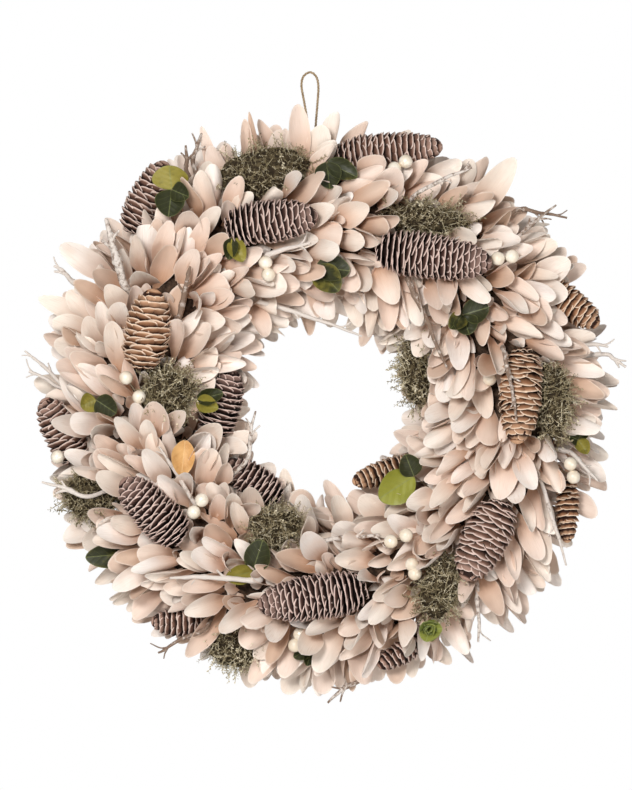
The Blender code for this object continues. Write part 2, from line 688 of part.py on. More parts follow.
def twig_shape(entry, height, anchor, margin=0.0):
    """A twig from a foot in the bed past its visible foot to its tip."""
    x0, z0, x1, z1, width, _ = entry
    foot = place(x0, z0, CREST - height)
    tip = place(x1, z1, CREST - height - TWIG_RISE)
    bend = foot.lerp(tip, 0.5) + Vector((0, -1.5, 1.0)) * MM
    widths = [width + 2 * margin] * 3 + [width * TWIG_TAPER + 2 * margin]
    return rod([anchor, foot, bend, tip], widths)


def lone_petal_shape(entry, height, anchor, margin=0.0):
    """A single long petal from its foot in the bed to its tip."""
    _, _, x1, z1, width, _ = entry
    along = place(x1, z1, CREST - height - TWIG_RISE) - anchor
    front = Vector((0, -1, 0))
    return blade(anchor, along, front, along.length / MM, width, PETAL_THICKNESS, 1.5, 0.02, margin)


def petal_sites():
    """Every petal that the rule asks for: its place, heading, face and sizes."""
    draw = random.Random(SEED)
    section = grown_section(BED_THICKNESS + GAP)[1:-1]
    lengths = [(end - start).length for start, end in zip(section, section[1:])]
    sites = []
    for row, (share, lean, rise, petals) in enumerate(PETAL_ROWS):
        along = share * sum(lengths)
        span = 0
        while along > lengths[span]:
            along -= lengths[span]
            span += 1
        start, end = section[span], section[span + 1]
        here = start.lerp(end, along / lengths[span])
        tangent = (end - start).normalized()
        count = round(2 * math.pi * (RING_RADIUS + here.x) / PETAL_PITCH)
        for index in range(count):
            clock = 360 * (index + 0.5 * (row % 2)) / count + draw.uniform(-2.2, 2.2)
            for petal in range(petals):
                aside = petal - (petals - 1) / 2
                spread = here - tangent * (FOOT_SPREAD * aside)
                sites.append({
                    "clock": clock + draw.uniform(-1.2, 1.2), "radial": spread.x, "depth": spread.y,
                    "normal": Vector((-tangent.y, tangent.x)),
                    "lean": lean + aside * BLOOM_FAN + draw.uniform(-13, 13),
                    "rise": rise + draw.uniform(-9, 11),
                    "length": PETAL_LENGTH * draw.uniform(0.82, 1.10),
                    "width": PETAL_WIDTH * draw.uniform(0.84, 1.10),
                    "roll": draw.uniform(-34, 34), "cup": draw.uniform(1.6, 4.0),
                    "curl": draw.uniform(-0.05, 0.16), "turned": draw.random() < 0.22})
    return sites


def petal_shape(site, bend, margin=0.0):
    """The blade of one petal, with its rise and its lean bent by some degrees."""
    outward, clockwise = clock_frame(site["clock"])
    front = Vector((0, -1, 0))
    rise = math.radians(site["rise"] + bend[0])
    lean = math.radians(site["lean"] + bend[1])
    heading = clockwise * math.cos(lean) + outward * math.sin(lean)
    forward = heading * math.cos(rise) + front * math.sin(rise)
    normal = outward * site["normal"].x - front * site["normal"].y
    face = front * PETAL_FRONT + normal * PETAL_OFF_STRAW
    face = face - forward * face.dot(forward)
    face.rotate(Matrix.Rotation(math.radians(site["roll"]), 3, forward))
    if site["turned"]:
        face = -face
    foot = ring_place(site["clock"], site["radial"], site["depth"]) - normal * (PETAL_SINK * MM)
    return blade(foot, forward, face, site["length"], site["width"], PETAL_THICKNESS,
                 site["cup"], site["curl"], margin)


def sector_of(point):
    """Number of the bed's sector at a world position."""
    offset = point - CENTRE
    clock = math.degrees(math.atan2(offset.x, offset.z))
    return int((clock - BED_FIRST) % 360 // (360 / BED_SECTORS))


def make_bunches(bed_shapes, placed):
    """Each sector of the bed with its twigs and petals, fused into one body."""
    cream = finish("petal_wood", (0.78, 0.65, 0.54), 0.75)
    bed_trees = [tree([shape]) for shape in bed_shapes]
    members = [[shape] for shape in bed_shapes]
    grown = [[bed_tree] for bed_tree in bed_trees]

    def add(sector, fat, shape, apart=False):
        others = [other for number in range(BED_SECTORS) if number != sector for other in grown[number]]
        if crosses(fat, [*others, *placed.values()]):
            return False
        if apart and crosses(shape, grown[sector][1:]):
            return False
        members[sector].append(shape)
        grown[sector].append(tree([shape]))
        return True

    for entries, shape_of in ((TWIGS, twig_shape), (LONE_PETALS, lone_petal_shape)):
        for entry in entries:
            for step in range(HEIGHT_TRIES):
                height = entry[5] + (step + 1) // 2 * (1 if step % 2 else -1)
                foot = place(entry[0], entry[1], CREST - height)
                sector = sector_of(foot)
                spot = bed_trees[sector].find_nearest(foot)[0]
                anchor = spot - (foot - spot).normalized() * (PETAL_SINK * MM)
                if add(sector, shape_of(entry, height, anchor, GAP), shape_of(entry, height, anchor)):
                    break
            else:
                print("left out", entry)
    sites = petal_sites()
    for site in sites:
        sector = sector_of(ring_place(site["clock"], 0, 0))
        for bend in BENDS:
            if add(sector, petal_shape(site, bend, GAP), petal_shape(site, bend), apart=True):
                break
    for sector, shapes in enumerate(members):
        body = solid(f"petal_bunch_{sector + 1}", shapes, cream)
        print(body.name, len(shapes), "shapes,", len(body.data.polygons), "faces")


def make_wreath():
    """Build every piece, from the straw outwards."""
    twine = finish("twine", (0.42, 0.31, 0.19), 0.9)
    ring = make_ring(finish("straw", (0.42, 0.30, 0.16), 0.95))
    binding = make_binding(twine)
    loop = make_loop(twine)
    bed_shapes = [bed_shape(sector, GAP, GAP + BED_THICKNESS) for sector in range(BED_SECTORS)]
    bed = tree(bed_shapes)
    route = [point.co.to_3d() for point in loop.data.splines[0].points]
    placed = {"straw_ring": tree([mesh_shape(ring)])}
    cone_rooms = make_cones(bed, placed)
    placed["string_binding"] = tree([mesh_shape(binding)])
    placed["hanging_loop"] = tree([rod(route, [TWINE] * len(route))])
    make_moss(bed, placed, cone_rooms)
    make_picks(bed, placed)
    make_bunches(bed_shapes, placed)


for leftover in list(bpy.data.objects):
    bpy.data.objects.remove(leftover)
make_wreath()
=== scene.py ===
# %% [markdown]
# # A Christmas wreath
#
# The real wreath is a wound straw ring. Petals cut from wood shavings are glued to its
# front, and among them sit cones, moss, box leaves, ivory beads and whitewashed twigs.
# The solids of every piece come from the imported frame. This lesson gives each of them the
# finer shape and the finish of the real one, in the same place.

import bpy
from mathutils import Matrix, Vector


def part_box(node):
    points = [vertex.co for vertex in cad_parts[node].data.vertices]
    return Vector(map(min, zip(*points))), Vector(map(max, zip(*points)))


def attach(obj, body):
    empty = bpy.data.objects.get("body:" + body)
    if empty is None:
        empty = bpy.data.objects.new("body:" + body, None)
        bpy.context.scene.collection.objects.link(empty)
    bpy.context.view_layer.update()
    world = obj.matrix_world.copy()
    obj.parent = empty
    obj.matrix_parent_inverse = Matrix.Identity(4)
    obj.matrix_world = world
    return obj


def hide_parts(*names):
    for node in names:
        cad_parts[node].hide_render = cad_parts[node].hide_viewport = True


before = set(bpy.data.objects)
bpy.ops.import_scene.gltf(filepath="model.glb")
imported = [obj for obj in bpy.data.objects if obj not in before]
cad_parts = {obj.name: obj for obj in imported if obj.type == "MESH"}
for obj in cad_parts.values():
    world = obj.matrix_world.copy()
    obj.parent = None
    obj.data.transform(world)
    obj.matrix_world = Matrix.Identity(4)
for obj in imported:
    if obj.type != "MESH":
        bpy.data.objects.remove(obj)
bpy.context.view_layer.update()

# %% [markdown]
# ## Places
#
# A place in the wreath is written in millimetres from the middle of the ring: x to the
# right, z up, and the depth towards the back. `place` turns it into metres from the hook,
# which is the origin of the frame. A clock angle counts from the top, and everything in
# the wreath sweeps clockwise.

# %% Places
import math
import random

import bmesh
import bpy
from mathutils import Matrix, Vector
from mathutils.bvhtree import BVHTree
from mathutils.kdtree import KDTree

scene = bpy.context.scene
MM = 0.001
CENTRE = Vector((0.0104, -0.0145, -0.2210))
FRONT = Vector((0, -1, 0))
RING_RADIUS = 121.0
RING_STEP = 15                   # degrees from one facet of the solid ring to the next
RING_SECTION = (                 # outward and backward places round the straw, in millimetres
    (23, 18), (29, 9), (28, -4), (19, -15), (0, -20), (-19, -15), (-28, -4), (-29, 9), (-23, 18))
BED_THICKNESS = 3.6              # of the glue and the petals' feet
GAP = 0.4                        # between solids
CREST = RING_SECTION[4][1] - BED_THICKNESS


def place(x, z, depth):
    """World position of a place in millimetres."""
    return CENTRE + Vector((x, depth, z)) * MM


def clock_frame(clock):
    """Outward and clockwise directions at a clock angle in degrees."""
    angle = math.radians(clock)
    return Vector((math.sin(angle), 0, math.cos(angle))), Vector((math.cos(angle), 0, -math.sin(angle)))


def ring_place(clock, radial, depth, facets=True):
    """World position on the ring from a clock angle and a place in its section."""
    outward, _ = clock_frame(clock)
    half = RING_STEP / 2
    facet = math.cos(math.radians(half)) / math.cos(math.radians(clock % RING_STEP - half))
    reach = (RING_RADIUS + radial) * (facet if facets else 1.0)
    return place(outward.x * reach, outward.z * reach, depth)


def grown_section(distance):
    """The ring's section, moved outwards by a distance, with its corners kept."""
    count = len(RING_SECTION)
    grown = []
    for index in range(count):
        before, here, after = (Vector(RING_SECTION[(index + step) % count]) for step in (-1, 0, 1))
        normals = []
        for start, end in ((before, here), (here, after)):
            along = (end - start).normalized()
            normals.append(Vector((-along.y, along.x)))
        middle = (normals[0] + normals[1]).normalized()
        grown.append(here + middle * (distance / middle.dot(normals[0])))
    return grown


# %% [markdown]
# ## Camera
#
# The picture was taken straight from the front with a long lens, so the wreath shows almost
# no perspective. A long lens and the height that the picture spans give the distance.

# %% Camera
PICTURE_HEIGHT = 0.5135          # metres that the picture spans at the petals
PICTURE_MIDDLE = (0.0039, -0.21385)
PETAL_PLANE = -0.036             # depth of the petals that make the outline
LENS = 110.0                     # millimetres

camera = bpy.data.objects.new("camera", bpy.data.cameras.new("camera"))
scene.collection.objects.link(camera)
camera.data.lens = LENS
distance = PICTURE_HEIGHT * LENS / camera.data.sensor_width
camera.location = (PICTURE_MIDDLE[0], PETAL_PLANE - distance, PICTURE_MIDDLE[1])
camera.rotation_euler = (math.pi / 2, 0, 0)
scene.camera = camera
print(f"the camera stands {distance:.2f} m in front of the petals")

# %% [markdown]
# ## Writing node trees as sums
#
# Materials and Geometry Nodes are both node trees. `Value` wraps one socket, and its
# operators add Math or Vector Math nodes, so that a formula reads as it would on paper.
# `Graph.get` makes any other node from its type, its settings and its inputs.

# %% Node trees
class Value:
    """A socket of a node tree that takes part in sums."""

    def __init__(self, graph, socket):
        self.graph = graph
        self.socket = socket

    def joined(self, operation, other, turned=False):
        first, second = (other, self) if turned else (self, other)
        flat = [value for value in (first, second) if not is_vector(value)]
        if operation == "MULTIPLY" and len(flat) == 1:
            vector = second if flat[0] is first else first
            return self.graph.get("ShaderNodeVectorMath", "Vector", {"operation": "SCALE"},
                                  {0: vector, "Scale": flat[0]})
        if not flat:
            return self.graph.get("ShaderNodeVectorMath", "Vector", {"operation": operation},
                                  {0: first, 1: second})
        return self.graph.get("ShaderNodeMath", "Value", {"operation": operation}, {0: first, 1: second})

    def __add__(self, other):
        return self.joined("ADD", other)

    def __radd__(self, other):
        return self.joined("ADD", other, True)

    def __sub__(self, other):
        return self.joined("SUBTRACT", other)

    def __rsub__(self, other):
        return self.joined("SUBTRACT", other, True)

    def __mul__(self, other):
        return self.joined("MULTIPLY", other)

    def __rmul__(self, other):
        return self.joined("MULTIPLY", other, True)

    def __truediv__(self, other):
        return self.joined("DIVIDE", other)

    def __pow__(self, other):
        return self.joined("POWER", other)


def is_vector(value):
    """True for a vector socket or a plain vector."""
    if isinstance(value, Value):
        return value.socket.type in ("VECTOR", "RGBA")
    return not isinstance(value, (int, float))


class Graph:
    """A node tree that is filled by expressions."""

    def __init__(self, tree):
        self.tree = tree

    def node(self, kind, settings=None, inputs=None):
        made = self.tree.nodes.new(kind)
        for name, value in (settings or {}).items():
            if name == "stops":
                while len(made.color_ramp.elements) < len(value):
                    made.color_ramp.elements.new(1.0)
                for element, (position, colour) in zip(made.color_ramp.elements, value):
                    element.position = position
                    element.color = (*colour, 1.0)
            else:
                setattr(made, name, value)
        for key, value in (inputs or {}).items():
            self.feed(made.inputs[key], value)
        return made

    def feed(self, socket, value):
        if isinstance(value, Value):
            self.tree.links.new(value.socket, socket)
        else:
            socket.default_value = value

    def get(self, kind, output, settings=None, inputs=None):
        return Value(self, self.node(kind, settings, inputs).outputs[output])

    def mix(self, share, low, high):
        """A colour between two colours."""
        pair = [value if isinstance(value, Value) else (*value, 1.0) for value in (low, high)]
        return self.get("ShaderNodeMix", 2, {"data_type": "RGBA"}, {0: share, 6: pair[0], 7: pair[1]})

    def ramp(self, value, stops):
        """A colour that runs through several colours."""
        return self.get("ShaderNodeValToRGB", "Color", {"stops": stops}, {"Fac": value})

    def smooth(self, value, low, high):
        """0 below one limit, 1 above the other and a soft step between them."""
        return self.get("ShaderNodeMapRange", "Result", {"interpolation_type": "SMOOTHSTEP"},
                        {"Value": value, "From Min": low, "From Max": high})

    def noise(self, place, scale, detail=3.0, roughness=0.5):
        """Soft random values between 0 and 1."""
        return self.get("ShaderNodeTexNoise", 0, None,
                        {"Vector": place, "Scale": scale, "Detail": detail, "Roughness": roughness})

    def vector(self, x, y, z):
        return self.get("ShaderNodeCombineXYZ", "Vector", None, {0: x, 1: y, 2: z})


def new_finish(name, roughness, specular=0.5):
    """A material with a graph, its Principled shader and the object's coordinates."""
    material = bpy.data.materials.new(name)
    material.use_nodes = True
    graph = Graph(material.node_tree)
    shader = material.node_tree.nodes["Principled BSDF"]
    shader.inputs["Roughness"].default_value = roughness
    shader.inputs["Specular IOR Level"].default_value = specular
    place_in_object = graph.get("ShaderNodeTexCoord", "Object")
    return material, graph, shader, place_in_object


def attribute(graph, name):
    """A number that the mesh carries, for a material."""
    return graph.get("ShaderNodeAttribute", "Fac", {"attribute_name": name})


def bump(graph, shader, height, distance, strength=1.0):
    """Fine relief in the shading."""
    normal = graph.get("ShaderNodeBump", "Normal", None,
                       {"Height": height, "Distance": distance, "Strength": strength})
    graph.feed(shader.inputs["Normal"], normal)


# %% [markdown]
# ## Pieces grown by Geometry Nodes
#
# What repeats or follows a path is grown. The script lays points or edges that carry named
# values, a tree that is built here turns them into a skin, and the result is kept as a
# plain mesh. `dress` joins such meshes into one finished piece, which stands for its solids.

# %% Growing and dressing
def number(graph, name):
    """A number that the points carry."""
    return graph.get("GeometryNodeInputNamedAttribute", 0, {"data_type": "FLOAT"}, {"Name": name})


def direction(graph, name):
    """A vector that the points carry."""
    return graph.get("GeometryNodeInputNamedAttribute", 0, {"data_type": "FLOAT_VECTOR"}, {"Name": name})


def new_tree(name, sockets, result):
    """A tree of Geometry Nodes with named inputs, and its graph, input and output nodes."""
    tree = bpy.data.node_groups.new(name, "GeometryNodeTree")
    for socket, kind in sockets:
        tree.interface.new_socket(socket, in_out="INPUT", socket_type="NodeSocket" + kind)
    tree.interface.new_socket(result, in_out="OUTPUT", socket_type="NodeSocketGeometry")
    graph = Graph(tree)
    start, end = graph.node("NodeGroupInput"), graph.node("NodeGroupOutput")
    given = {socket: Value(graph, start.outputs[socket]) for socket, _ in sockets}
    return tree, graph, given, end


def end_tree(graph, end, geometry, finish):
    """The end that most trees share: smooth shading and the finish."""
    smooth = graph.get("GeometryNodeSetShadeSmooth", "Geometry", None, {"Geometry": geometry})
    graph.feed(end.inputs[0], graph.get(
        "GeometryNodeSetMaterial", "Geometry", None, {"Geometry": smooth, "Material": finish}))


def grow(name, mesh, tree, inputs):
    """The mesh that a tree makes from another mesh."""
    body = bpy.data.objects.new(name, mesh)
    scene.collection.objects.link(body)
    modifier = body.modifiers.new("grow", "NODES")
    modifier.node_group = tree
    for socket in tree.interface.items_tree:
        if socket.item_type == "SOCKET" and socket.in_out == "INPUT" and socket.name in inputs:
            modifier[socket.identifier] = inputs[socket.name]
    depsgraph = bpy.context.evaluated_depsgraph_get()
    grown_mesh = bpy.data.meshes.new_from_object(body.evaluated_get(depsgraph))
    bpy.data.objects.remove(body)
    return grown_mesh


OWN_VALUES = (                   # values that only shape a piece
    "length", "width", "cup", "curl", "twist", "forward", "face", "foot", "side", "relief", "thick", "sway")
COUNTS = {}


def dress(name, meshes, slot, *nodes):
    """One finished piece from meshes, which stands for its solids."""
    bodies = []
    for mesh in meshes:
        for layer in [layer.name for layer in mesh.attributes if layer.name in OWN_VALUES]:
            mesh.attributes.remove(mesh.attributes[layer])
        bodies.append(bpy.data.objects.new(name, mesh))
        scene.collection.objects.link(bodies[-1])
    body = bodies[0]
    body.name = name
    if len(bodies) > 1:
        with bpy.context.temp_override(active_object=body, selected_editable_objects=bodies):
            bpy.ops.object.join()
    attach(body, "root")
    if nodes:
        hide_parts(*nodes)
    COUNTS[name] = sum(len(polygon.vertices) - 2 for polygon in body.data.polygons)
    print(name, "has", COUNTS[name], "triangles")
    return body


# %% Skins over sections
def swept(sections, closed_path=True):
    """Vertices and faces of a skin over sections of equal length."""
    count = len(sections[0])
    points = [point for section in sections for point in section]
    faces = []
    for here in range(len(sections) if closed_path else len(sections) - 1):
        there = (here + 1) % len(sections)
        for side in range(count):
            after = (side + 1) % count
            start, end = here * count, there * count
            faces.append((start + side, start + after, end + after, end + side))
    if not closed_path:
        faces.append(tuple(range(count)))
        faces.append(tuple(range(len(points) - count, len(points))))
    return points, faces


def outward_mesh(name, points, faces):
    """A closed mesh whose faces point outwards."""
    mesh = bpy.data.meshes.new(name)
    mesh.from_pydata(points, [], faces)
    work = bmesh.new()
    work.from_mesh(mesh)
    bmesh.ops.recalc_face_normals(work, faces=work.faces)
    work.to_mesh(mesh)
    work.free()
    return mesh


def tube(points, widths, sides):
    """Points and faces of a closed tube with a width in metres at each point."""
    sections = []
    last = None
    for index, point in enumerate(points):
        along = (points[min(index + 1, len(points) - 1)] - points[max(index - 1, 0)]).normalized()
        across = along.orthogonal() if last is None else last - along * last.dot(along)
        across = across.normalized()
        last = across
        other = along.cross(across)
        turns = [2 * math.pi * side / sides for side in range(sides)]
        sections.append([point + (across * math.cos(turn) + other * math.sin(turn)) * (widths[index] / 2)
                         for turn in turns])
    return swept(sections, closed_path=False)


def merged(name, shapes):
    """One mesh from several closed shapes."""
    points, faces = [], []
    for own_points, own_faces in shapes:
        start = len(points)
        points += own_points
        faces += [tuple(start + index for index in face) for face in own_faces]
    return outward_mesh(name, points, faces)


def resampled(points, count, closed=False):
    """Points at even distances along a path."""
    path = [Vector(point) for point in points] + ([Vector(points[0])] if closed else [])
    lengths = [(b - a).length for a, b in zip(path, path[1:])]
    total = sum(lengths)
    made = []
    for index in range(count):
        along = total * index / (count if closed else count - 1)
        span = 0
        while span < len(lengths) - 1 and along > lengths[span]:
            along -= lengths[span]
            span += 1
        made.append(path[span].lerp(path[span + 1], min(along / lengths[span], 1.0)))
    return made


def path_mesh(name, paths):
    """Edges along paths, which carry a thickness and a sway at each point and a tone each."""
    points, edges = [], []
    values = {"thick": [], "sway": [], "tone": []}
    for route, widths, tone, (sway, last_sway) in paths:
        start, steps = len(points), len(route) - 1
        points += route
        values["thick"] += widths
        values["sway"] += [sway + (last_sway - sway) * step / steps for step in range(steps + 1)]
        values["tone"] += [tone] * len(route)
        edges += [(start + step, start + step + 1) for step in range(steps)]
    mesh = bpy.data.meshes.new(name)
    mesh.from_pydata(points, edges, [])
    for key, numbers in values.items():
        mesh.attributes.new(key, "FLOAT", "POINT").data.foreach_set("value", numbers)
    return mesh


# %% [markdown]
# ## Twine
#
# The wreath hangs on a loop of natural twine, three strands laid round each other. The loop
# leaves the knot, goes up over the hook, which is the origin of the frame, and comes back.
# A tree sweeps a ring of three small circles along the path and turns it with the tilt of
# the curve, which lays the strands as a ropemaker does. The binding is the same twine, wound
# round the straw in its groove and closed with an overhand knot.

# %% Twine tree
TWINE = 1.7                      # mm thick
TWINE_LAY = 5.5                  # mm along the twine for one turn of its strands
STRANDS = 3
STRAND_SHARE = 0.464             # three round strands that touch fill a circle so


def twine_tree():
    """Lays strands round each other along each edge path."""
    tree, graph, given, end = new_tree("twine_on_paths", (
        ("Paths", "Geometry"), ("Thickness", "Float"), ("Lay", "Float"), ("Step", "Float"),
        ("Strands", "Int"), ("Sides", "Int"), ("Finish", "Material")), "Twine")
    curves = graph.get("GeometryNodeMeshToCurve", "Curve", None, {"Mesh": given["Paths"]})
    fine = graph.get("GeometryNodeResampleCurve", "Curve", {"mode": "LENGTH"},
                     {"Curve": curves, "Length": given["Step"]})
    run = graph.get("GeometryNodeSplineParameter", "Length")
    laid = graph.get("GeometryNodeSetCurveTilt", "Curve", None,
                     {"Curve": fine, "Tilt": run * (2 * math.pi) / given["Lay"]})
    spots = graph.get("GeometryNodeMeshCircle", "Mesh", None, {
        "Vertices": given["Strands"], "Radius": given["Thickness"] * ((1 - STRAND_SHARE) / 2)})
    ring = graph.get("GeometryNodeCurvePrimitiveCircle", "Curve", {"mode": "RADIUS"}, {
        "Resolution": given["Sides"], "Radius": given["Thickness"] * (STRAND_SHARE / 2)})
    rings = graph.get("GeometryNodeInstanceOnPoints", "Instances", None, {"Points": spots, "Instance": ring})
    real = graph.get("GeometryNodeRealizeInstances", "Geometry", None, {"Geometry": rings})
    skin = graph.get("GeometryNodeCurveToMesh", "Mesh", None,
                     {"Curve": laid, "Profile Curve": real, "Fill Caps": True})
    end_tree(graph, end, skin, given["Finish"])
    return tree


twine_finish, graph, shader, spot = new_finish("twine", 0.85, 0.2)
fibres = graph.noise(spot, 900.0, 4.0, 0.7)
colour = graph.mix(graph.smooth(fibres, 0.35, 0.65), (0.26, 0.17, 0.09), (0.56, 0.43, 0.28))
graph.feed(shader.inputs["Base Color"], colour)
bump(graph, shader, fibres, 0.0004)
TWINE_TREE = twine_tree()


def laid_twine(name, route, step=0.45, sides=8):
    """Twine of three strands along a route."""
    return grow(name, path_mesh(name, [(route, [TWINE] * len(route), 0.5, (0, 0))]), TWINE_TREE, {
        "Thickness": TWINE * MM, "Lay": TWINE_LAY * MM, "Step": step * MM, "Strands": STRANDS, "Sides": sides,
        "Finish": twine_finish})


# %% Hanging loop
LOOP_DEPTH = 14.5
LOOP_STEPS = 2                   # points of the curve for each of the route
LOOP_ROUTE = (                   # x and z of the loop, from the knot over the hook and back
    (-9.9, 150.95), (-10.3, 160), (-10.6, 171.6), (-11.8, 187), (-14.9, 205), (-16.2, 213),
    (-14.9, 219), (-10.4, 221.85), (-6.4, 219), (-4.9, 213), (-5.2, 205), (-6.5, 189),
    (-7.6, 171.6), (-7.5, 160), (-7.2, 150.95))


def smooth_route(points, steps):
    """Points of a smooth curve through the given ones."""
    route = []
    for index in range(len(points) - 1):
        before = points[max(index - 1, 0)]
        start, end = points[index], points[index + 1]
        after = points[min(index + 2, len(points) - 1)]
        for step in range(steps):
            t = step / steps
            route.append(0.5 * (2 * start + (end - before) * t
                                + (2 * before - 5 * start + 4 * end - after) * t * t
                                + (3 * start - before - 3 * end + after) * t ** 3))
    route.append(points[-1])
    return route


loop_path = smooth_route([place(x, z, LOOP_DEPTH) for x, z in LOOP_ROUTE], LOOP_STEPS)
loop_length = sum((b - a).length for a, b in zip(loop_path, loop_path[1:]))
loop = dress("hanging_twine", [laid_twine("hanging_twine", loop_path)], "twine", "hanging_loop")
tuple(loop_path[0])
[tuple(point) for point in loop_path]
print(f"the loop is {loop_length * 1000:.0f} mm of twine")

# %% Binding and knot
BINDING_CLOCK = -3.3
BAND_HALF = 0.7                  # degrees on either side that the turns of twine take up
BINDING_TURNS = 2.2
BINDING_POINTS = 60              # in one turn
BINDING_SINK = 1.0               # mm from the straw's surface down to the middle of the twine
KNOT_RADIAL = 27.5
KNOT_SIZE = 0.72
KNOT_POINTS = 72


def wound_route():
    """A route that goes round the straw, side by side in its groove, from the knot's corner."""
    section = resampled(grown_section(-BINDING_SINK), BINDING_POINTS, closed=True)
    count = round(len(section) * BINDING_TURNS)
    route = []
    for index in range(count):
        spot = section[index % len(section)]
        share = index / (count - 1)
        route.append(ring_place(BINDING_CLOCK + BAND_HALF * (2 * share - 1), spot.x, spot.y))
    return [route[0], *[(a + b + c) / 3 for a, b, c in zip(route, route[1:], route[2:])], route[-1]]


def knot_route():
    """The curve of an overhand knot."""
    middle = ring_place(BINDING_CLOCK, KNOT_RADIAL, LOOP_DEPTH)
    route = []
    for index in range(KNOT_POINTS):
        turn = 2 * math.pi * index / KNOT_POINTS
        reach = 2 + math.cos(3 * turn)
        curve = Vector((reach * math.cos(2 * turn), 1.2 * math.sin(3 * turn), reach * math.sin(2 * turn)))
        route.append(middle + curve * (KNOT_SIZE * MM))
    return route


dress("twine_binding", [laid_twine("binding", wound_route(), 0.8, 6), laid_twine("knot", knot_route())],
      "twine", "string_binding")

# %% [markdown]
# ## Straw ring
#
# The base is a ring of straw, bound round and round with thread and flat at the back, the
# only side that shows. The straws lie along the ring, so each is an arc on the ring's
# section with a small slant. The thread is one long spiral. A second tree skins paths that
# carry a thickness at each point, and it can make them wander, as twigs do. The value named
# sway says how far a point may wander, so that a side shoot starts where its twig is.

# %% Tree for stalks and twigs
WANDER_SCALE = 55.0              # noise cells in a metre for the bends of a stalk
KNOT_SCALE = 190.0               # and for its knots


def stalk_tree():
    """Skins each edge path with a wandering, knotty stalk."""
    tree, graph, given, end = new_tree("stalks_on_paths", (
        ("Paths", "Geometry"), ("Wander", "Float"), ("Knots", "Float"), ("Sides", "Int"),
        ("Finish", "Material")), "Stalks")
    curves = graph.get("GeometryNodeMeshToCurve", "Curve", None, {"Mesh": given["Paths"]})
    spot = graph.get("GeometryNodeInputPosition", "Position")
    wave = graph.get("ShaderNodeTexNoise", "Color", None,
                     {"Vector": spot, "Scale": WANDER_SCALE, "Detail": 2.0})
    sway = (wave - Vector((0.5, 0.5, 0.5))) * (number(graph, "sway") * given["Wander"] * MM)
    bent = graph.get("GeometryNodeSetPosition", "Geometry", None, {"Geometry": curves, "Offset": sway})
    knots = graph.smooth(graph.noise(spot, KNOT_SCALE, 2.0), 0.5, 0.72)
    ring = graph.get("GeometryNodeCurvePrimitiveCircle", "Curve", {"mode": "RADIUS"},
                     {"Resolution": given["Sides"], "Radius": 1.0})
    skin = graph.get("GeometryNodeCurveToMesh", "Mesh", None, {
        "Curve": bent, "Profile Curve": ring, "Fill Caps": True,
        "Scale": number(graph, "thick") * (1 + knots * given["Knots"]) * (MM / 2)})
    end_tree(graph, end, skin, given["Finish"])
    return tree


STALKS = stalk_tree()

# %% Straws and thread
STRAW_SEED = 11
STRAWS = 300
STRAW_WIDTHS = (1.8, 3.2)
STRAW_DEGREES = (26, 62)         # how far round the ring a straw reaches
STRAW_SLANT = 0.08               # share of the back that it wanders over
STRAW_COVER = 1.4                # mm that a straw may lie under the surface
STRAW_SPOTS = 120                # places for a straw across the back
STRAW_STEP = 4.0                 # degrees between its points
NEAR_STEP = 0.8                  # the same where the binding presses it
NEAR_BINDING = 4                 # degrees
CORNER_START = 22                # mm off the ring's middle, where the back turns to the side
GROOVE_DEPTH = 2.0
GROOVE_WIDTH = 2.2               # square degrees
CORE_SINK = 1.6                  # mm that the core lies under the surface
CORE_POINTS = 30
CORE_STEP = 3                    # degrees between the sections of the core
THREAD = 0.5
THREAD_TURNS = 104
THREAD_POINTS = 27               # in one turn
THREAD_START = 2                 # degrees past the binding


def straw_finish(name, dark, light, roughness):
    """Dry stalks with fine lines along them."""
    material, graph, shader, spot = new_finish(name, roughness, 0.35)
    grain = graph.noise(spot, 420.0, 3.0, 0.6)
    share = attribute(graph, "tone") * 0.75 + graph.smooth(grain, 0.35, 0.65) * 0.25
    graph.feed(shader.inputs["Base Color"], graph.mix(share, dark, light))
    bump(graph, shader, grain, 0.0004)
    return material


def past_binding(clock):
    """Degrees from the binding to a clock angle, from -180 to 180."""
    return (clock - BINDING_CLOCK + 180) % 360 - 180


def groove(clock):
    """How deep the binding presses the straw, in millimetres."""
    return GROOVE_DEPTH * math.exp(-past_binding(clock) ** 2 / GROOVE_WIDTH)


def straw_paths(draw):
    """Arcs along the ring over its back, each with its slant and thickness."""
    section = grown_section(0)
    back = resampled([section[1], section[0], section[-1], section[-2]], STRAW_SPOTS)
    paths = []
    for _ in range(STRAWS):
        width = draw.uniform(*STRAW_WIDTHS)
        start, reach = draw.uniform(0, 360), draw.uniform(*STRAW_DEGREES)
        side, slant = draw.uniform(0.03, 0.97), draw.uniform(-STRAW_SLANT, STRAW_SLANT)
        under = width / 2 + draw.uniform(0.0, STRAW_COVER)
        route = []
        clock = start
        while clock <= start + reach:
            share = min(max(side + slant * (clock - start) / reach, 0.02), 0.98)
            spot = back[round(share * (len(back) - 1))]
            at_corner = abs(spot.x) > CORNER_START
            inward = Vector((-spot.x, -spot.y)).normalized() if at_corner else Vector((0, -1))
            spot = spot + inward * (under + groove(clock))
            route.append(ring_place(clock, spot.x, spot.y, facets=False))
            clock += NEAR_STEP if abs(past_binding(clock)) < NEAR_BINDING else STRAW_STEP
        paths.append((route, [width] * len(route), draw.random(), (0, 0)))
    return paths


def thread_path():
    """The spiral of thread, on the straw's surface."""
    section = resampled(grown_section(THREAD * 0.3), THREAD_POINTS, closed=True)
    count = THREAD_TURNS * len(section)
    route = []
    for index in range(count):
        clock = BINDING_CLOCK + THREAD_START + (360 - 2 * THREAD_START) * index / (count - 1)
        spot = section[index % len(section)]
        route.append(ring_place(clock, spot.x, spot.y, facets=False))
    return [(route, [THREAD] * count, 0.5, (0, 0))]


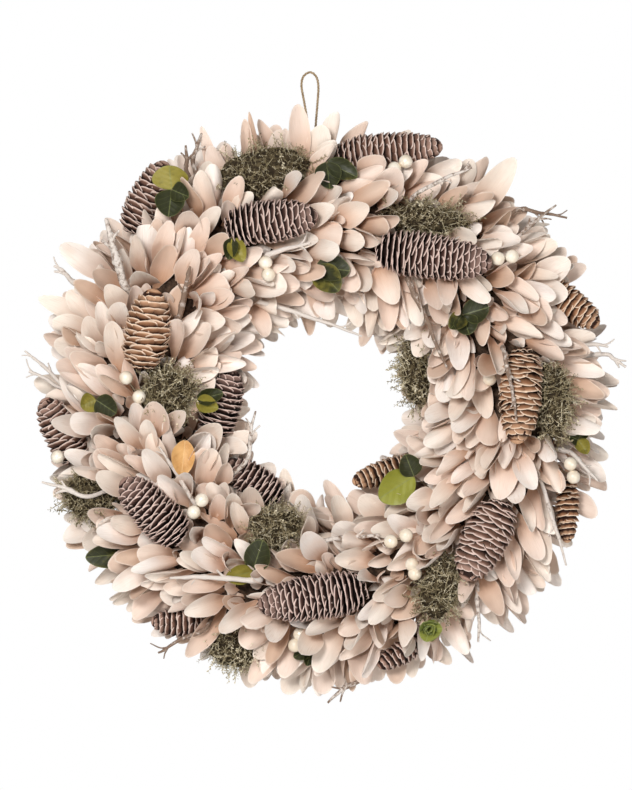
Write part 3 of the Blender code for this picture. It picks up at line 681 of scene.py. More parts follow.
straw_look = straw_finish("straw", (0.22, 0.13, 0.045), (0.72, 0.56, 0.29), 0.5)
thread_look = straw_finish("thread", (0.10, 0.13, 0.05), (0.17, 0.20, 0.08), 0.5)
sections = []
for clock in range(0, 360, CORE_STEP):
    section = resampled(grown_section(-CORE_SINK - groove(clock)), CORE_POINTS, closed=True)
    sections.append([ring_place(clock, *spot, facets=False) for spot in section])
points, faces = swept(sections)
straw_core = outward_mesh("straw_core", points, faces)
straw_core.materials.append(straw_look)
straws = grow("straws", path_mesh("straws", straw_paths(random.Random(STRAW_SEED))), STALKS,
              {"Wander": 0.0, "Knots": 0.12, "Sides": 6, "Finish": straw_look})
thread = grow("thread", path_mesh("thread", thread_path()), STALKS,
              {"Wander": 0.0, "Knots": 0.0, "Sides": 4, "Finish": thread_look})
dress("wound_straw_ring", [straw_core, straws, thread], "straw", "straw_ring")

# %% [markdown]
# ## Light and floor
#
# The wreath was lit as shops light their goods: a soft lamp at the upper left in front, a
# wider one at the lower right, a weak one behind, and pure white all round. The white world
# is dimmer as a lamp than it looks to the camera, so that the gaps between the petals stay
# dark. A plain pale floor lies under the wreath, below the picture's edge.

# %% Light and floor
WORLD_LIGHT = 0.27
LAMPS = (                        # name, place and size in metres, and watts
    ("key", (-0.36, -1.40, 0.15), 0.4, 17.5), ("fill", (0.8, -1.2, -0.80), 0.8, 18),
    ("back", (0.3, 1.5, 0.7), 1.2, 10))
FLOOR_LEVEL = -0.62              # metres, as the next two
FLOOR_HALF = 1.3
FLOOR_MIDDLE = -0.5

scene.view_settings.view_transform = "Standard"
world = bpy.data.worlds.new("white")
world.use_nodes = True
scene.world = world
world_graph = Graph(world.node_tree)
background = world.node_tree.nodes["Background"]
background.inputs["Color"].default_value = (1, 1, 1, 1)
seen = world_graph.get("ShaderNodeLightPath", "Is Camera Ray")
world_graph.feed(background.inputs["Strength"], seen * (1 - WORLD_LIGHT) + WORLD_LIGHT)

for name, position, size, power in LAMPS:
    lamp = bpy.data.objects.new(name, bpy.data.lights.new(name, "AREA"))
    lamp.data.size = size
    lamp.data.energy = power
    lamp.location = position
    lamp.rotation_euler = (CENTRE - lamp.location).to_track_quat("-Z", "Y").to_euler()
    scene.collection.objects.link(lamp)

floor_mesh = bpy.data.meshes.new("floor")
corners = [(x * FLOOR_HALF, y * FLOOR_HALF + FLOOR_MIDDLE, FLOOR_LEVEL)
           for x, y in ((-1, -1), (1, -1), (1, 1), (-1, 1))]
floor_mesh.from_pydata(corners, [], [(0, 1, 2, 3)])
floor = bpy.data.objects.new("floor", floor_mesh)
scene.collection.objects.link(floor)
floor_finish, _, floor_shader, _ = new_finish("pale_floor", 0.9)
floor_shader.inputs["Base Color"].default_value = (0.86, 0.85, 0.84, 1)
floor_mesh.materials.append(floor_finish)

# %% [markdown]
# ## Blades
#
# Petals, cone scales and box leaves are all thin blades: a foot, a length, a width, a cup
# across and a curl along. So one tree of Geometry Nodes makes them all. It puts a flat
# blade on every point of a carrier mesh and then moves each of its vertices by a formula
# that reads the point's own values. A rounded outline comes from a square grid that is
# drawn onto a disc, which has no pole.

# %% One flat blade
EDGE_START = 0.98                # share of the blade's radius past which it thins out
EDGE_THICKNESS = 0.45            # share of the thickness that is left there


def disc_grid(columns, rows):
    """Places on a disc of radius 1 from a square grid, and the grid's faces."""
    spots = []
    for row in range(rows + 1):
        for column in range(columns + 1):
            u, v = 2 * column / columns - 1, 2 * row / rows - 1
            spots.append((u * math.sqrt(1 - v * v / 2), v * math.sqrt(1 - u * u / 2)))
    faces = []
    for row in range(rows):
        for column in range(columns):
            start = row * (columns + 1) + column
            faces.append((start, start + 1, start + columns + 2, start + columns + 1))
    rim = [*range(columns + 1)]
    rim += [row * (columns + 1) + columns for row in range(1, rows + 1)]
    rim += [rows * (columns + 1) + column for column in range(columns - 1, -1, -1)]
    rim += [row * (columns + 1) for row in range(rows - 1, 0, -1)]
    return spots, faces, rim


def flat_blade(name, columns, rows, outline, relief=lambda along, aside: 0.0):
    """A closed thin blade that carries where each of its vertices is along and aside."""
    spots, quads, rim = disc_grid(columns, rows)
    count = len(spots)
    faces = [*quads, *[tuple(index + count for index in reversed(quad)) for quad in quads]]
    for index, here in enumerate(rim):
        after = rim[(index + 1) % len(rim)]
        faces.append((here, here + count, after + count, after))
    values = {"along": [], "aside": [], "side": [], "rim": [], "relief": []}
    for side in (1.0, -1.0):
        for x, y in spots:
            along = (y + 1) / 2
            reach = math.hypot(x, y)
            values["along"].append(along)
            values["aside"].append(0.5 * x * outline(along))
            values["side"].append(side * (1.0 if reach < EDGE_START else EDGE_THICKNESS))
            values["rim"].append(reach)
            values["relief"].append(relief(along, 0.5 * x * outline(along)))
    mesh = bpy.data.meshes.new(name)
    points = [(aside, along, 0.0) for aside, along in zip(values["aside"], values["along"])]
    mesh.from_pydata(points, [], faces)
    for key, numbers in values.items():
        mesh.attributes.new(key, "FLOAT", "POINT").data.foreach_set("value", numbers)
    rim_ends = {(here, after) for here, after in zip(rim, [*rim[1:], rim[0]])}
    rim_ends |= {(here + count, after + count) for here, after in rim_ends}
    for edge in mesh.edges:
        start, end = edge.vertices
        edge.use_edge_sharp = (start, end) in rim_ends or (end, start) in rim_ends
    blade = bpy.data.objects.new(name, mesh)
    scene.collection.objects.link(blade)
    return blade


# %% The tree that shapes blades
def blade_tree():
    """Puts a blade on each point and bends it as the point's values say."""
    tree, graph, given, end = new_tree("blades_on_points", (
        ("Points", "Geometry"), ("Blade", "Object"), ("Thickness", "Float"), ("Ripple", "Float"),
        ("Ripple Scale", "Float"), ("Relief", "Float"), ("Finish", "Material")), "Blades")
    flat = graph.get("GeometryNodeObjectInfo", "Geometry", None, {"Object": given["Blade"]})
    copies = graph.get("GeometryNodeInstanceOnPoints", "Instances", None,
                       {"Points": given["Points"], "Instance": flat})
    real = graph.get("GeometryNodeRealizeInstances", "Geometry", None, {"Geometry": copies})
    along, aside = number(graph, "along"), number(graph, "aside")
    length, width = number(graph, "length"), number(graph, "width")
    forward, face = direction(graph, "forward"), direction(graph, "face")
    right = graph.get("ShaderNodeVectorMath", "Vector", {"operation": "CROSS_PRODUCT"}, {0: forward, 1: face})
    across = aside * 2
    spot = graph.vector(along * 1.4, aside * 1.6, number(graph, "tone") * 37)
    wave = graph.noise(spot, given["Ripple Scale"], 1.0) - 0.5
    cupped = number(graph, "cup") * (across * across + along ** 4 * 0.4)
    curled = number(graph, "curl") * length * along * along
    twisted = number(graph, "twist") * aside * along * width
    lift = cupped + curled + twisted + wave * given["Ripple"] * (along + 0.2)
    lift = lift + number(graph, "side") * given["Thickness"] * 0.5 + number(graph, "relief") * given["Relief"]
    offset = forward * (length * along) + right * (width * aside) + face * lift
    shaped = graph.get("GeometryNodeSetPosition", "Geometry", None,
                       {"Geometry": real, "Position": direction(graph, "foot") + offset * MM})
    end_tree(graph, end, shaped, given["Finish"])
    return tree


BLADES = blade_tree()


def carrier(name, rows):
    """A mesh of loose points that carry the values of one blade each."""
    mesh = bpy.data.meshes.new(name)
    mesh.from_pydata([row["foot"] for row in rows], [], [])
    for key, value in rows[0].items():
        vector = isinstance(value, Vector)
        layer = mesh.attributes.new(key, "FLOAT_VECTOR" if vector else "FLOAT", "POINT")
        numbers = [part for row in rows for part in row[key]] if vector else [row[key] for row in rows]
        layer.data.foreach_set("vector" if vector else "value", numbers)
    return mesh


# %% [markdown]
# ## Petals: which ones there are
#
# Each petal of the real wreath is a tongue of thin wood, 3 to 4 cm long, with a rounded
# tip and a narrow foot that sits in glue. The solids hold one petal for each place of a
# rule that passed its tests. The same rule with the same seed names the candidates again,
# and a candidate stands where the tip of its blade lies on the solid.

# %% Sites of the petals
SEED = 24
PETAL_LENGTH = 37.0
PETAL_WIDTH = 19.0
PETAL_THICKNESS = 0.8            # of the solids
PETAL_SINK = 2.2                 # mm that a foot stands in the glue
PETAL_PITCH = 33.0               # mm from one bunch of a row to the next
PETAL_ROWS = (                   # share of the section, lean, rise and petals in a bunch
    (0.07, 68, 3, 1), (0.20, 62, 18, 2), (0.34, 40, 30, 2), (0.50, 6, 34, 3),
    (0.66, -30, 30, 2), (0.80, -54, 20, 2), (0.93, -72, 6, 1))
BLOOM_FAN = 30                   # degrees between the petals of a bunch
FOOT_SPREAD = 4.6                # mm between their feet
BENDS = (                        # degrees by which a petal's rise and lean may give way
    (0, 0), (9, 0), (-9, 0), (0, 13), (0, -13), (18, 0), (12, 15), (12, -15), (28, 0), (22, 24), (22, -24))
BED_SECTORS = 6
BED_FIRST = 15                   # clock angle at which the first sector starts
HEIGHT_TRIES = 50                # heights that a twig or a single petal may have
VISIBLE_WIDTH = 0.72             # the sides roll in, so a petal looks narrower than its solid
TWIG_RISE = 3.0                  # mm from the foot's height to the tip's
MATCH = 0.05 * MM                # how near a blade's tip has to lie to the solid's corner


def bed_place(share):
    """Place and direction on the bed's section, from 0 outside to 1 inside."""
    section = grown_section(BED_THICKNESS + GAP)[1:-1]
    lengths = [(end - start).length for start, end in zip(section, section[1:])]
    along = share * sum(lengths)
    span = 0
    while along > lengths[span]:
        along -= lengths[span]
        span += 1
    start, end = section[span], section[span + 1]
    return start.lerp(end, along / lengths[span]), (end - start).normalized()


def petal_sites():
    """Every petal that the rule asks for."""
    draw = random.Random(SEED)
    sites = []
    for row, (share, lean, rise, petals) in enumerate(PETAL_ROWS):
        here, tangent = bed_place(share)
        count = round(2 * math.pi * (RING_RADIUS + here.x) / PETAL_PITCH)
        for index in range(count):
            clock = 360 * (index + 0.5 * (row % 2)) / count + draw.uniform(-2.2, 2.2)
            for petal in range(petals):
                aside = petal - (petals - 1) / 2
                spread = here - tangent * (FOOT_SPREAD * aside)
                sites.append({
                    "clock": clock + draw.uniform(-1.2, 1.2), "radial": spread.x, "depth": spread.y,
                    "normal": Vector((-tangent.y, tangent.x)),
                    "lean": lean + aside * BLOOM_FAN + draw.uniform(-13, 13),
                    "rise": rise + draw.uniform(-9, 11),
                    "length": PETAL_LENGTH * draw.uniform(0.82, 1.10),
                    "width": PETAL_WIDTH * draw.uniform(0.84, 1.10),
                    "roll": draw.uniform(-34, 34), "cup": draw.uniform(1.6, 4.0),
                    "curl": draw.uniform(-0.05, 0.16), "turned": draw.random() < 0.22})
    return sites


def petal_row(site, bend):
    """The values of one petal's blade, with its rise and lean bent by some degrees."""
    outward, clockwise = clock_frame(site["clock"])
    rise = math.radians(site["rise"] + bend[0])
    lean = math.radians(site["lean"] + bend[1])
    heading = clockwise * math.cos(lean) + outward * math.sin(lean)
    forward = heading * math.cos(rise) + FRONT * math.sin(rise)
    normal = outward * site["normal"].x - FRONT * site["normal"].y
    face = FRONT * 0.6 + normal * 0.8
    face = face - forward * face.dot(forward)
    face.rotate(Matrix.Rotation(math.radians(site["roll"]), 3, forward))
    foot = ring_place(site["clock"], site["radial"], site["depth"]) - normal * (PETAL_SINK * MM)
    return blade_row(foot, forward, -face if site["turned"] else face, site["length"], site["width"],
                     site["cup"], site["curl"])


def blade_row(foot, forward, face, length, width, cup, curl):
    """The values that a point carries for its blade."""
    forward = forward.normalized()
    face = (face - forward * face.dot(forward)).normalized()
    return {"foot": foot, "forward": forward, "face": face, "length": length, "width": width,
            "cup": cup, "curl": curl}


def blade_at(row, along, aside, lift):
    """A place on the plain blade of the solids."""
    offset = row["forward"] * (row["length"] * along)
    offset = offset + row["forward"].cross(row["face"]) * (row["width"] * aside)
    offset = offset + row["face"] * (row["curl"] * row["length"] * along * along + row["cup"] * lift)
    return row["foot"] + offset * MM


def stands(row, corners, thickness):
    """True where the solids have this blade's tip and one of its sides."""
    half = row["face"] * (thickness * MM / 2)
    tip = blade_at(row, 1, 0, 0.4)
    found = sum(corners.find(tip + turn * half)[2] < MATCH for turn in (-1, 1))
    sides = [blade_at(row, 0.87, aside, 0.8) for aside in (-0.33, 0.33)]
    found += sum(corners.find(side + turn * half)[2] < MATCH for side in sides for turn in (-1, 1))
    return found >= 3


def corner_tree(nodes):
    """A search tree over the corners of some solids."""
    points = [vertex.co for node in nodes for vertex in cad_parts[node].data.vertices]
    corners = KDTree(len(points))
    for index, point in enumerate(points):
        corners.insert(point, index)
    corners.balance()
    return corners


PETAL_NODES = [f"petal_bunch_{number + 1}" for number in range(BED_SECTORS)]
PETAL_CORNERS = corner_tree(PETAL_NODES)


def sector_of(point):
    """Number of the bed's sector at a world position."""
    offset = point - CENTRE
    clock = math.degrees(math.atan2(offset.x, offset.z))
    return int((clock - BED_FIRST) % 360 // (360 / BED_SECTORS))


petals = []
for site in petal_sites():
    for bend in BENDS:
        row = petal_row(site, bend)
        if stands(row, PETAL_CORNERS, PETAL_THICKNESS):
            row["sector"] = sector_of(ring_place(site["clock"], 0, 0))
            row["width"] *= VISIBLE_WIDTH
            petals.append(row)
            break
print(len(petals), "petals of the rule stand on the solids")

# %% [markdown]
# ## Petals: single ones and more of them
#
# A few long petals stand out of the outline at the top and the sides, where the picture
# shows them. Each was put at the first free height, so the height is found from the solid.
# The real wreath has several hundred petals, more than the solids can hold, so further
# ones fill the room between. A filler is kept where it crosses nothing and hides no cone,
# moss, leaf or bead from the front. The shortest come last and only go where no other petal
# covers the bed.

# %% Single petals
LONE_PETALS = (                  # x and z of the foot and the tip, width, height above the crest
    (-56.5, 160.0, -52.9, 187.2, 7.0, -6), (-49.0, 160.0, -49.8, 190.0, 5.0, -10),
    (-16.5, 164.0, -18.5, 194.0, 13.0, -4), (-74.0, 150.0, -80.6, 180.0, 8.0, -8),
    (-33.8, 160.0, -30.0, 181.0, 11.0, -12), (108.0, 140.0, 122.0, 160.0, 14.0, -6),
    (-160.0, 60.0, -186.0, 70.0, 13.0, -10), (-150.0, 92.0, -171.0, 104.0, 14.0, -6))
LONE_CUP = 1.5
LONE_CURL = 0.02


def bed_trees():
    """A search tree over each sector of the petal bed."""
    low, high = grown_section(GAP)[1:-1], grown_section(GAP + BED_THICKNESS)[1:-1]
    section = high + low[::-1]
    count = len(section)
    trees = []
    for sector in range(BED_SECTORS):
        start = BED_FIRST + sector * 360 // BED_SECTORS
        end = start + 360 // BED_SECTORS
        clocks = [start + 0.18, *range(start + RING_STEP, end, RING_STEP), end - 0.18]
        points = [ring_place(clock, *spot) for clock in clocks for spot in section]
        faces = [(here * count + side, here * count + (side + 1) % count,
                  (here + 1) * count + (side + 1) % count, (here + 1) * count + side)
                 for here in range(len(clocks) - 1) for side in range(count)]
        faces += [tuple(range(count)), tuple(range(len(points) - count, len(points)))]
        trees.append(BVHTree.FromPolygons(points, faces))
    return trees


BEDS = bed_trees()


def heights(entry):
    """The heights at which a twig or a single petal may stand, and its foot in the bed."""
    for step in range(HEIGHT_TRIES):
        height = entry[5] + (step + 1) // 2 * (1 if step % 2 else -1)
        foot = place(entry[0], entry[1], CREST - height)
        sector = sector_of(foot)
        spot = BEDS[sector].find_nearest(foot)[0]
        yield height, foot, spot - (foot - spot).normalized() * (PETAL_SINK * MM), sector


lone = 0
for entry in LONE_PETALS:
    for height, _, anchor, sector in heights(entry):
        along = place(entry[2], entry[3], CREST - height - TWIG_RISE) - anchor
        row = blade_row(anchor, along, FRONT, along.length / MM, entry[4], LONE_CUP, LONE_CURL)
        if stands(row, PETAL_CORNERS, PETAL_THICKNESS):
            row["sector"] = sector
            petals.append(row)
            lone += 1
            break
print(lone, "single petals found")

# %% Fillers
FILLER_SEED = 7
FILLER_PASSES = (                # tries, most in a sector, lengths and widths as shares, on bare spots only
    (3500, 105, (0.82, 1.18), (0.50, 0.70), False), (3500, 145, (0.48, 0.76), (0.42, 0.60), False),
    (9000, 180, (0.30, 0.46), (0.32, 0.48), True))
FILLER_ROWS = (                  # share of the section, lean and rise
    (0.02, 78, -12), (0.04, 66, -6), (0.08, 70, 4), (0.98, -78, -8), (0.20, 60, 14), (0.34, 42, 24),
    (0.50, 4, 26), (0.66, -34, 22), (0.80, -56, 14), (0.93, -72, 2))
NEAR = 85 * MM                   # petals further apart than this can't meet
HIDING = 70 * MM                 # a petal hides what is nearer than this behind it
WALL = -1.5 * MM                 # no filler reaches further back than this
BLADE_OUTLINE = (                # places along, aside and lifted
    (0, 0, 0), (0.52, 0.5, 1), (0.87, 0.33, 0.8), (1, 0, 0.4), (0.87, -0.33, 0.8), (0.52, -0.5, 1))
BLADE_FANS = ((0, 1, 6), (1, 2, 6), (2, 3, 6), (3, 4, 6), (4, 5, 6), (5, 0, 6))


def plain_blade(row):
    """A search tree over a petal's plain blade, and its points."""
    points = [blade_at(row, *spot) for spot in (*BLADE_OUTLINE, (0.55, 0, 0))]
    return BVHTree.FromPolygons(points, BLADE_FANS), points


def nodes_tree(starts):
    """One search tree over all solids whose names start so."""
    points, faces = [], []
    for node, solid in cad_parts.items():
        if node.startswith(starts):
            first = len(points)
            points += [vertex.co for vertex in solid.data.vertices]
            faces += [[first + index for index in polygon.vertices] for polygon in solid.data.polygons]
    return BVHTree.FromPolygons(points, faces)


OTHERS = nodes_tree(("cone", "moss", "box", "lime", "orange", "bead"))
RING = nodes_tree(("straw", "string", "hanging"))


def hides_something(points):
    """True where a petal stands before a cone, a tuft, a leaf or a bead."""
    return sum(OTHERS.ray_cast(point, -FRONT, HIDING)[0] is not None for point in points[1:]) > 1


def filler_site(draw, lengths, widths):
    """A random place, heading and size for one more petal."""
    share, lean, rise = draw.choice(FILLER_ROWS)
    here, tangent = bed_place(min(max(share + draw.uniform(-0.06, 0.06), 0.01), 0.99))
    return {
        "clock": draw.uniform(0, 360), "radial": here.x, "depth": here.y,
        "normal": Vector((-tangent.y, tangent.x)), "lean": lean + draw.uniform(-34, 34),
        "rise": rise + draw.uniform(-16, 16), "length": PETAL_LENGTH * draw.uniform(*lengths),
        "width": PETAL_WIDTH * draw.uniform(*widths), "roll": draw.uniform(-50, 50),
        "cup": draw.uniform(1.6, 4.0), "curl": draw.uniform(-0.06, 0.18), "turned": draw.random() < 0.25}


def is_bare(row, trees):
    """True where no petal stands before or behind the middle of this one."""
    middle = blade_at(row, 0.55, 0, 0)
    return not any(tree.ray_cast(middle, side)[0] for tree in trees for side in (FRONT, -FRONT))


standing = [(row["foot"], plain_blade(row)[0]) for row in petals]
draw = random.Random(FILLER_SEED)
fillers = [0] * BED_SECTORS
for tries, most, lengths, widths, bare_only in FILLER_PASSES:
    for _ in range(tries):
        site = filler_site(draw, lengths, widths)
        sector = sector_of(ring_place(site["clock"], 0, 0))
        if fillers[sector] >= most:
            continue
        for bend in BENDS:
            row = petal_row(site, bend)
            near = [other for foot, other in standing if (foot - row["foot"]).length < NEAR]
            if bare_only and not is_bare(row, near):
                continue
            blade, points = plain_blade(row)
            if max(point.y for point in points) > WALL or hides_something(points):
                continue
            if blade.overlap(OTHERS) or blade.overlap(RING):
                continue
            if not any(blade.overlap(other) for other in near):
                standing.append((row["foot"], blade))
                row["sector"] = sector
                petals.append(row)
                fillers[sector] += 1
                break
print("fillers in each sector:", fillers)

# %% [markdown]
# ## Petals: shape and finish
#
# A petal is a spoon: its sides come round to the front, its tip is round, and the wood has
# waves and fine lines along it. The colour is cream, turned brown by painted shade in the
# cup towards the foot, and paler along the thin cut edge. Every petal has its own tone, from
# tan over pink to pale cream. Long petals come in two outlines, and short ones have fewer faces.

# %% Petal finish
def petal_finish():
    """Pale wood with painted shade at the foot, fine lines and a paler edge, in each petal's tone."""
    material, graph, shader, spot = new_finish("petal_wood", 0.72, 0.25)
    along, aside = attribute(graph, "along"), attribute(graph, "aside")
    tone, rim = attribute(graph, "tone"), attribute(graph, "rim")
    own = graph.vector(aside * 26, along * 1.6, tone * 91)
    lines = graph.noise(own, 2.2, 4.0, 0.6)
    clouds = graph.noise(spot, 75.0, 3.0)
    body = graph.ramp(tone, (
        (0.0, (0.58, 0.40, 0.29)), (0.12, (0.76, 0.60, 0.50)), (0.3, (0.86, 0.70, 0.60)),
        (0.6, (0.84, 0.74, 0.64)), (1.0, (0.92, 0.84, 0.78))))
    # painted shade: the petal turns brown towards its foot, where the cup lies deep in shadow
    foot = graph.smooth(along + (lines - 0.5) * 0.25, 0.85, 0.12)
    colour = graph.mix(foot * 0.85, body, (0.48, 0.24, 0.125))
    colour = graph.mix(graph.smooth(clouds, 0.45, 0.75) * 0.30, colour, (0.80, 0.58, 0.44))
    colour = graph.mix(graph.smooth(lines, 0.52, 0.74) * 0.55, colour, (0.60, 0.43, 0.31))
    colour = graph.mix(graph.smooth(rim, 0.92, 0.99) * 0.35, colour, (0.93, 0.86, 0.77))
    graph.feed(shader.inputs["Base Color"], colour)
    graph.feed(shader.inputs["Roughness"], 0.62 + lines * 0.2)
    bump(graph, shader, lines + clouds * 0.5, 0.0004, 0.5)
    return material


def tongue_outline(along):
    """Width of a broad petal with a round tip, as a share."""
    widening = min(along / 0.62, 1.0)
    widening = widening * widening * (3 - 2 * widening)
    return 0.32 + 0.70 * widening + 0.38 * max(along - 0.62, 0)


def spear_outline(along):
    """Width of a petal that narrows to its tip."""
    widening = min(along / 0.5, 1.0)
    widening = widening * widening * (3 - 2 * widening)
    return 0.36 + 0.66 * widening - 0.30 * max(along - 0.6, 0)


def petal_relief(along, aside):
    """The fold down the middle of a petal."""
    return -math.exp(-(aside / 0.07) ** 2) * math.sin(math.pi * min(along * 1.1, 1.0))


PETAL_FINISH = petal_finish()
PETAL_BLADES = [flat_blade("petal_blade", 6, 10, tongue_outline, petal_relief),
                flat_blade("petal_blade", 6, 10, spear_outline, petal_relief),
                flat_blade("short_blade", 4, 6, tongue_outline, petal_relief)]
SHORT = 0.47 * PETAL_LENGTH
TWIST = 0.6                      # the most that a petal twists either way
GROWTH = (("cup", 1.2, 2.3), ("width", 1.0, 1.38), ("length", 1.0, 1.07))   # times the solid's
draw = random.Random(SEED + 2)
for row in petals:
    row["twist"] = draw.uniform(-TWIST, TWIST)
    row["tone"] = draw.random()
    for key, least, most in GROWTH:
        row[key] = row[key] * draw.uniform(least, most)
for bunch, node in enumerate(PETAL_NODES):
    members = [row for row in petals if row["sector"] == bunch]
    long_ones = [row for row in members if row["length"] > SHORT]
    cuts = (long_ones[0::2], long_ones[1::2], [row for row in members if row["length"] <= SHORT])
    meshes = []
    for cut, blade in enumerate(PETAL_BLADES):
        rows = [{key: value for key, value in row.items() if key != "sector"} for row in cuts[cut]]
        meshes.append(grow(f"{node}_points_{cut}", carrier(f"{node}_{cut}", rows), BLADES, {
            "Blade": blade, "Thickness": 0.5, "Ripple": 3.6, "Ripple Scale": 1.7, "Relief": 0.5,
            "Finish": PETAL_FINISH}))
    dress(f"petals_{bunch + 1}", meshes, "petal_wood", node)
for blade in PETAL_BLADES:
    bpy.data.objects.remove(blade)

# %% [markdown]
# ## Petal bed
#
# Between the petals one looks down on their glued feet, a rough crust over the front of the
# straw, coloured almost black-brown as painted shade of the deep gaps. A sweep of the bed's
# section round the ring is swollen by noise in Geometry Nodes, which is quicker than sculpting
# and follows the ring by itself.

# %% Petal bed
CRUST_THICKNESS = 3.0            # thinner than the solid, so that the petals' feet show
CRUST_POINTS = (14, 22)          # across the ring, under the crust and over it
CRUST_STATIONS = 180             # round the ring


def crust_tree():
    """Swells a mesh along its normals by noise."""
    tree, graph, given, end = new_tree("crust", (
        ("Body", "Geometry"), ("Swell", "Float"), ("Lumps", "Float"), ("Finish", "Material")), "Body")
    spot = graph.get("GeometryNodeInputPosition", "Position")
    wave = graph.noise(spot, given["Lumps"], 4.0, 0.6) - 0.5
    swollen = graph.get("GeometryNodeSetPosition", "Geometry", None, {
        "Geometry": given["Body"],
        "Offset": graph.get("GeometryNodeInputNormal", "Normal") * (wave * given["Swell"] * MM)})
    end_tree(graph, end, swollen, given["Finish"])
    return tree


CRUST = crust_tree()
# painted shade: the crust is nearly black brown, for the shadow deep between the petals
bed_shade_finish, graph, shader, spot = new_finish("petal_bed", 0.85, 0.2)
grain = graph.noise(spot, 260.0, 5.0, 0.65)
colour = graph.mix(graph.smooth(grain, 0.35, 0.7), (0.020, 0.011, 0.006), (0.10, 0.06, 0.038))
graph.feed(shader.inputs["Base Color"], colour)
bump(graph, shader, grain, 0.001)
low = resampled(grown_section(GAP)[1:-1], CRUST_POINTS[0])
high = resampled(grown_section(GAP + CRUST_THICKNESS)[1:-1], CRUST_POINTS[1])
points, faces = swept([[ring_place(360 * index / CRUST_STATIONS, *spot) for spot in high + low[::-1]]
                       for index in range(CRUST_STATIONS)])
bed_mesh = grow("bed", outward_mesh("bed", points, faces), CRUST,
                {"Swell": 1.2, "Lumps": 240.0, "Finish": bed_shade_finish})
dress("petal_bed", [bed_mesh], "petal_wood")

# %% [markdown]
# ## Wires
#
# Cones, sprigs and beads that do not rest on the bed are held by florist's wire. Each
# solid has its wire, so the corners that lie nearest to the bed say where the wire ends.
# A pick that has no corner near the bed rests on its neighbour and needs no wire.

# %% Wires
WIRE_END_CORNERS = 3
WIRE_REACH = 4 * MM              # a solid wire ends this near to the bed, and the fine one goes on so far
WIRE_SIDES = 8

wire_finish, graph, shader, spot = new_finish("wire", 0.45)
colour = graph.mix(graph.noise(spot, 200.0), (0.10, 0.07, 0.04), (0.26, 0.19, 0.12))
graph.feed(shader.inputs["Base Color"], colour)
shader.inputs["Metallic"].default_value = 0.4


def wire_end(node):
    """Where the wire of a solid meets the bed, and the way into the bed there."""
    found = []
    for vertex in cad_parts[node].data.vertices:
        for bed in BEDS:
            spot, _, _, gap = bed.find_nearest(vertex.co, WIRE_REACH)
            if spot:
                found.append((gap, tuple(vertex.co), tuple(spot)))
    if not found:
        return None, None
    ends = sorted(set(found))[:WIRE_END_CORNERS]
    end = sum((Vector(corner) for _, corner, _ in ends), Vector()) / len(ends)
    spot = sum((Vector(near) for _, _, near in ends), Vector()) / len(ends)
    return end, (spot - end).normalized()


def wire_meshes(name, start, width):
    """The wire of a pick, from a place down into the bed."""
    end, inward = wire_end(name)
    if not end:
        print(name, "rests on its neighbour")
        return []
    route = smooth_route([start, start.lerp(end, 0.6), end + inward * WIRE_REACH], 4)
    mesh = merged(name + "_wire", [tube(route, [width * MM] * len(route), WIRE_SIDES)])
    mesh.materials.append(wire_finish)
    return [mesh]


# %% [markdown]
# ## Cones
#
# A cone is a spindle with scales that stand round it in a spiral. The scales of one turn
# stand over the gaps of the turn below, which gives the cone its ridges. That is a rule, so
# the script lays one point for each scale, and the same blade tree grows a short broad
# blade on it. The scales of the middle stand off the most, and those at the tip close over
# it in a dome.

# %% Cone tables
CONES = {                        # x and z of the base and the tip, diameter and kind
    "cone_01": (-128.7, 113.1, -104.0, 159.9, 28, "cone_brown"),
    "cone_02": (-65.7, 115.7, -4.6, 122.2, 30, "cone_dark"),
    "cone_03": (6.5, 165.1, 76.7, 169.0, 27, "cone_brown"),
    "cone_04": (31.2, 101.4, 106.6, 91.0, 32, "cone_dark"),
    "cone_05": (143.0, 80.6, 178.1, 52.0, 24, "cone_tan"),
    "cone_06": (127.4, 37.7, 122.2, -24.7, 31, "cone_tan"),
    "cone_07": (114.4, -61.1, 88.4, -111.8, 34, "cone_brown"),
    "cone_08": (158.6, -46.8, 157.3, -89.7, 18, "cone_tan"),
    "cone_09": (61.1, -36.4, 16.9, -50.0, 20, "cone_tan"),
    "cone_10": (27.3, -118.3, -44.2, -127.4, 32, "cone_dark"),
    "cone_11": (64.4, -152.1, 33.8, -170.3, 19, "cone_brown"),
    "cone_12": (-92.3, -87.1, -131.3, -46.8, 31, "cone_dark"),
    "cone_13": (-161.2, -37.7, -184.6, 5.2, 28, "cone_brown"),
    "cone_14": (-119.6, 23.4, -109.9, 75.4, 33, "cone_tan"),
    "cone_15": (-75.4, -23.4, -60.5, 24.7, 28, "cone_dark"),
    "cone_16": (-29.9, -62.4, -65.0, -36.4, 26, "cone_dark"),
    "cone_17": (-76.7, -144.3, -114.4, -140.4, 22, "cone_brown")}
CONE_RISE = 8                    # degrees by which a tip stands off the plane
CONE_PROFILE = (                 # share of the length and of the radius, for the solids
    (0.0, 0.34), (0.08, 0.76), (0.22, 0.95), (0.40, 1.0), (0.60, 0.93), (0.78, 0.74), (0.92, 0.45),
    (1.0, 0.20))


def from_table(table, share):
    """The value at a share, on straight lines between the points of a table."""
    for (start, low), (end, high) in zip(table, table[1:]):
        if share <= end:
            return low + (high - low) * (share - start) / (end - start)
    return table[-1][1]


def cone_axis(name):
    """Base, direction and length of a cone, at the depth where its solid lies."""
    x0, z0, x1, z1, diameter, _ = CONES[name]
    flat = place(x1, z1, 0) - place(x0, z0, 0)
    rise = Vector((0, -flat.length * math.tan(math.radians(CONE_RISE)), 0))
    tip = place(x1, z1, 0) + rise / 2
    reach = diameter / 2 * CONE_PROFILE[-1][1] * MM + 0.02 * MM
    ring = [vertex.co.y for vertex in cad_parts[name].data.vertices
            if math.hypot(vertex.co.x - tip.x, vertex.co.z - tip.z) < reach]
    tip.y = (min(ring) + max(ring)) / 2
    along = flat + rise
    return tip - along, along.normalized(), along.length / MM


def across_cone(along):
    """Two directions across a cone's axis."""
    across = along.cross(Vector((0, 1, 0))).normalized()
    return across, along.cross(across)


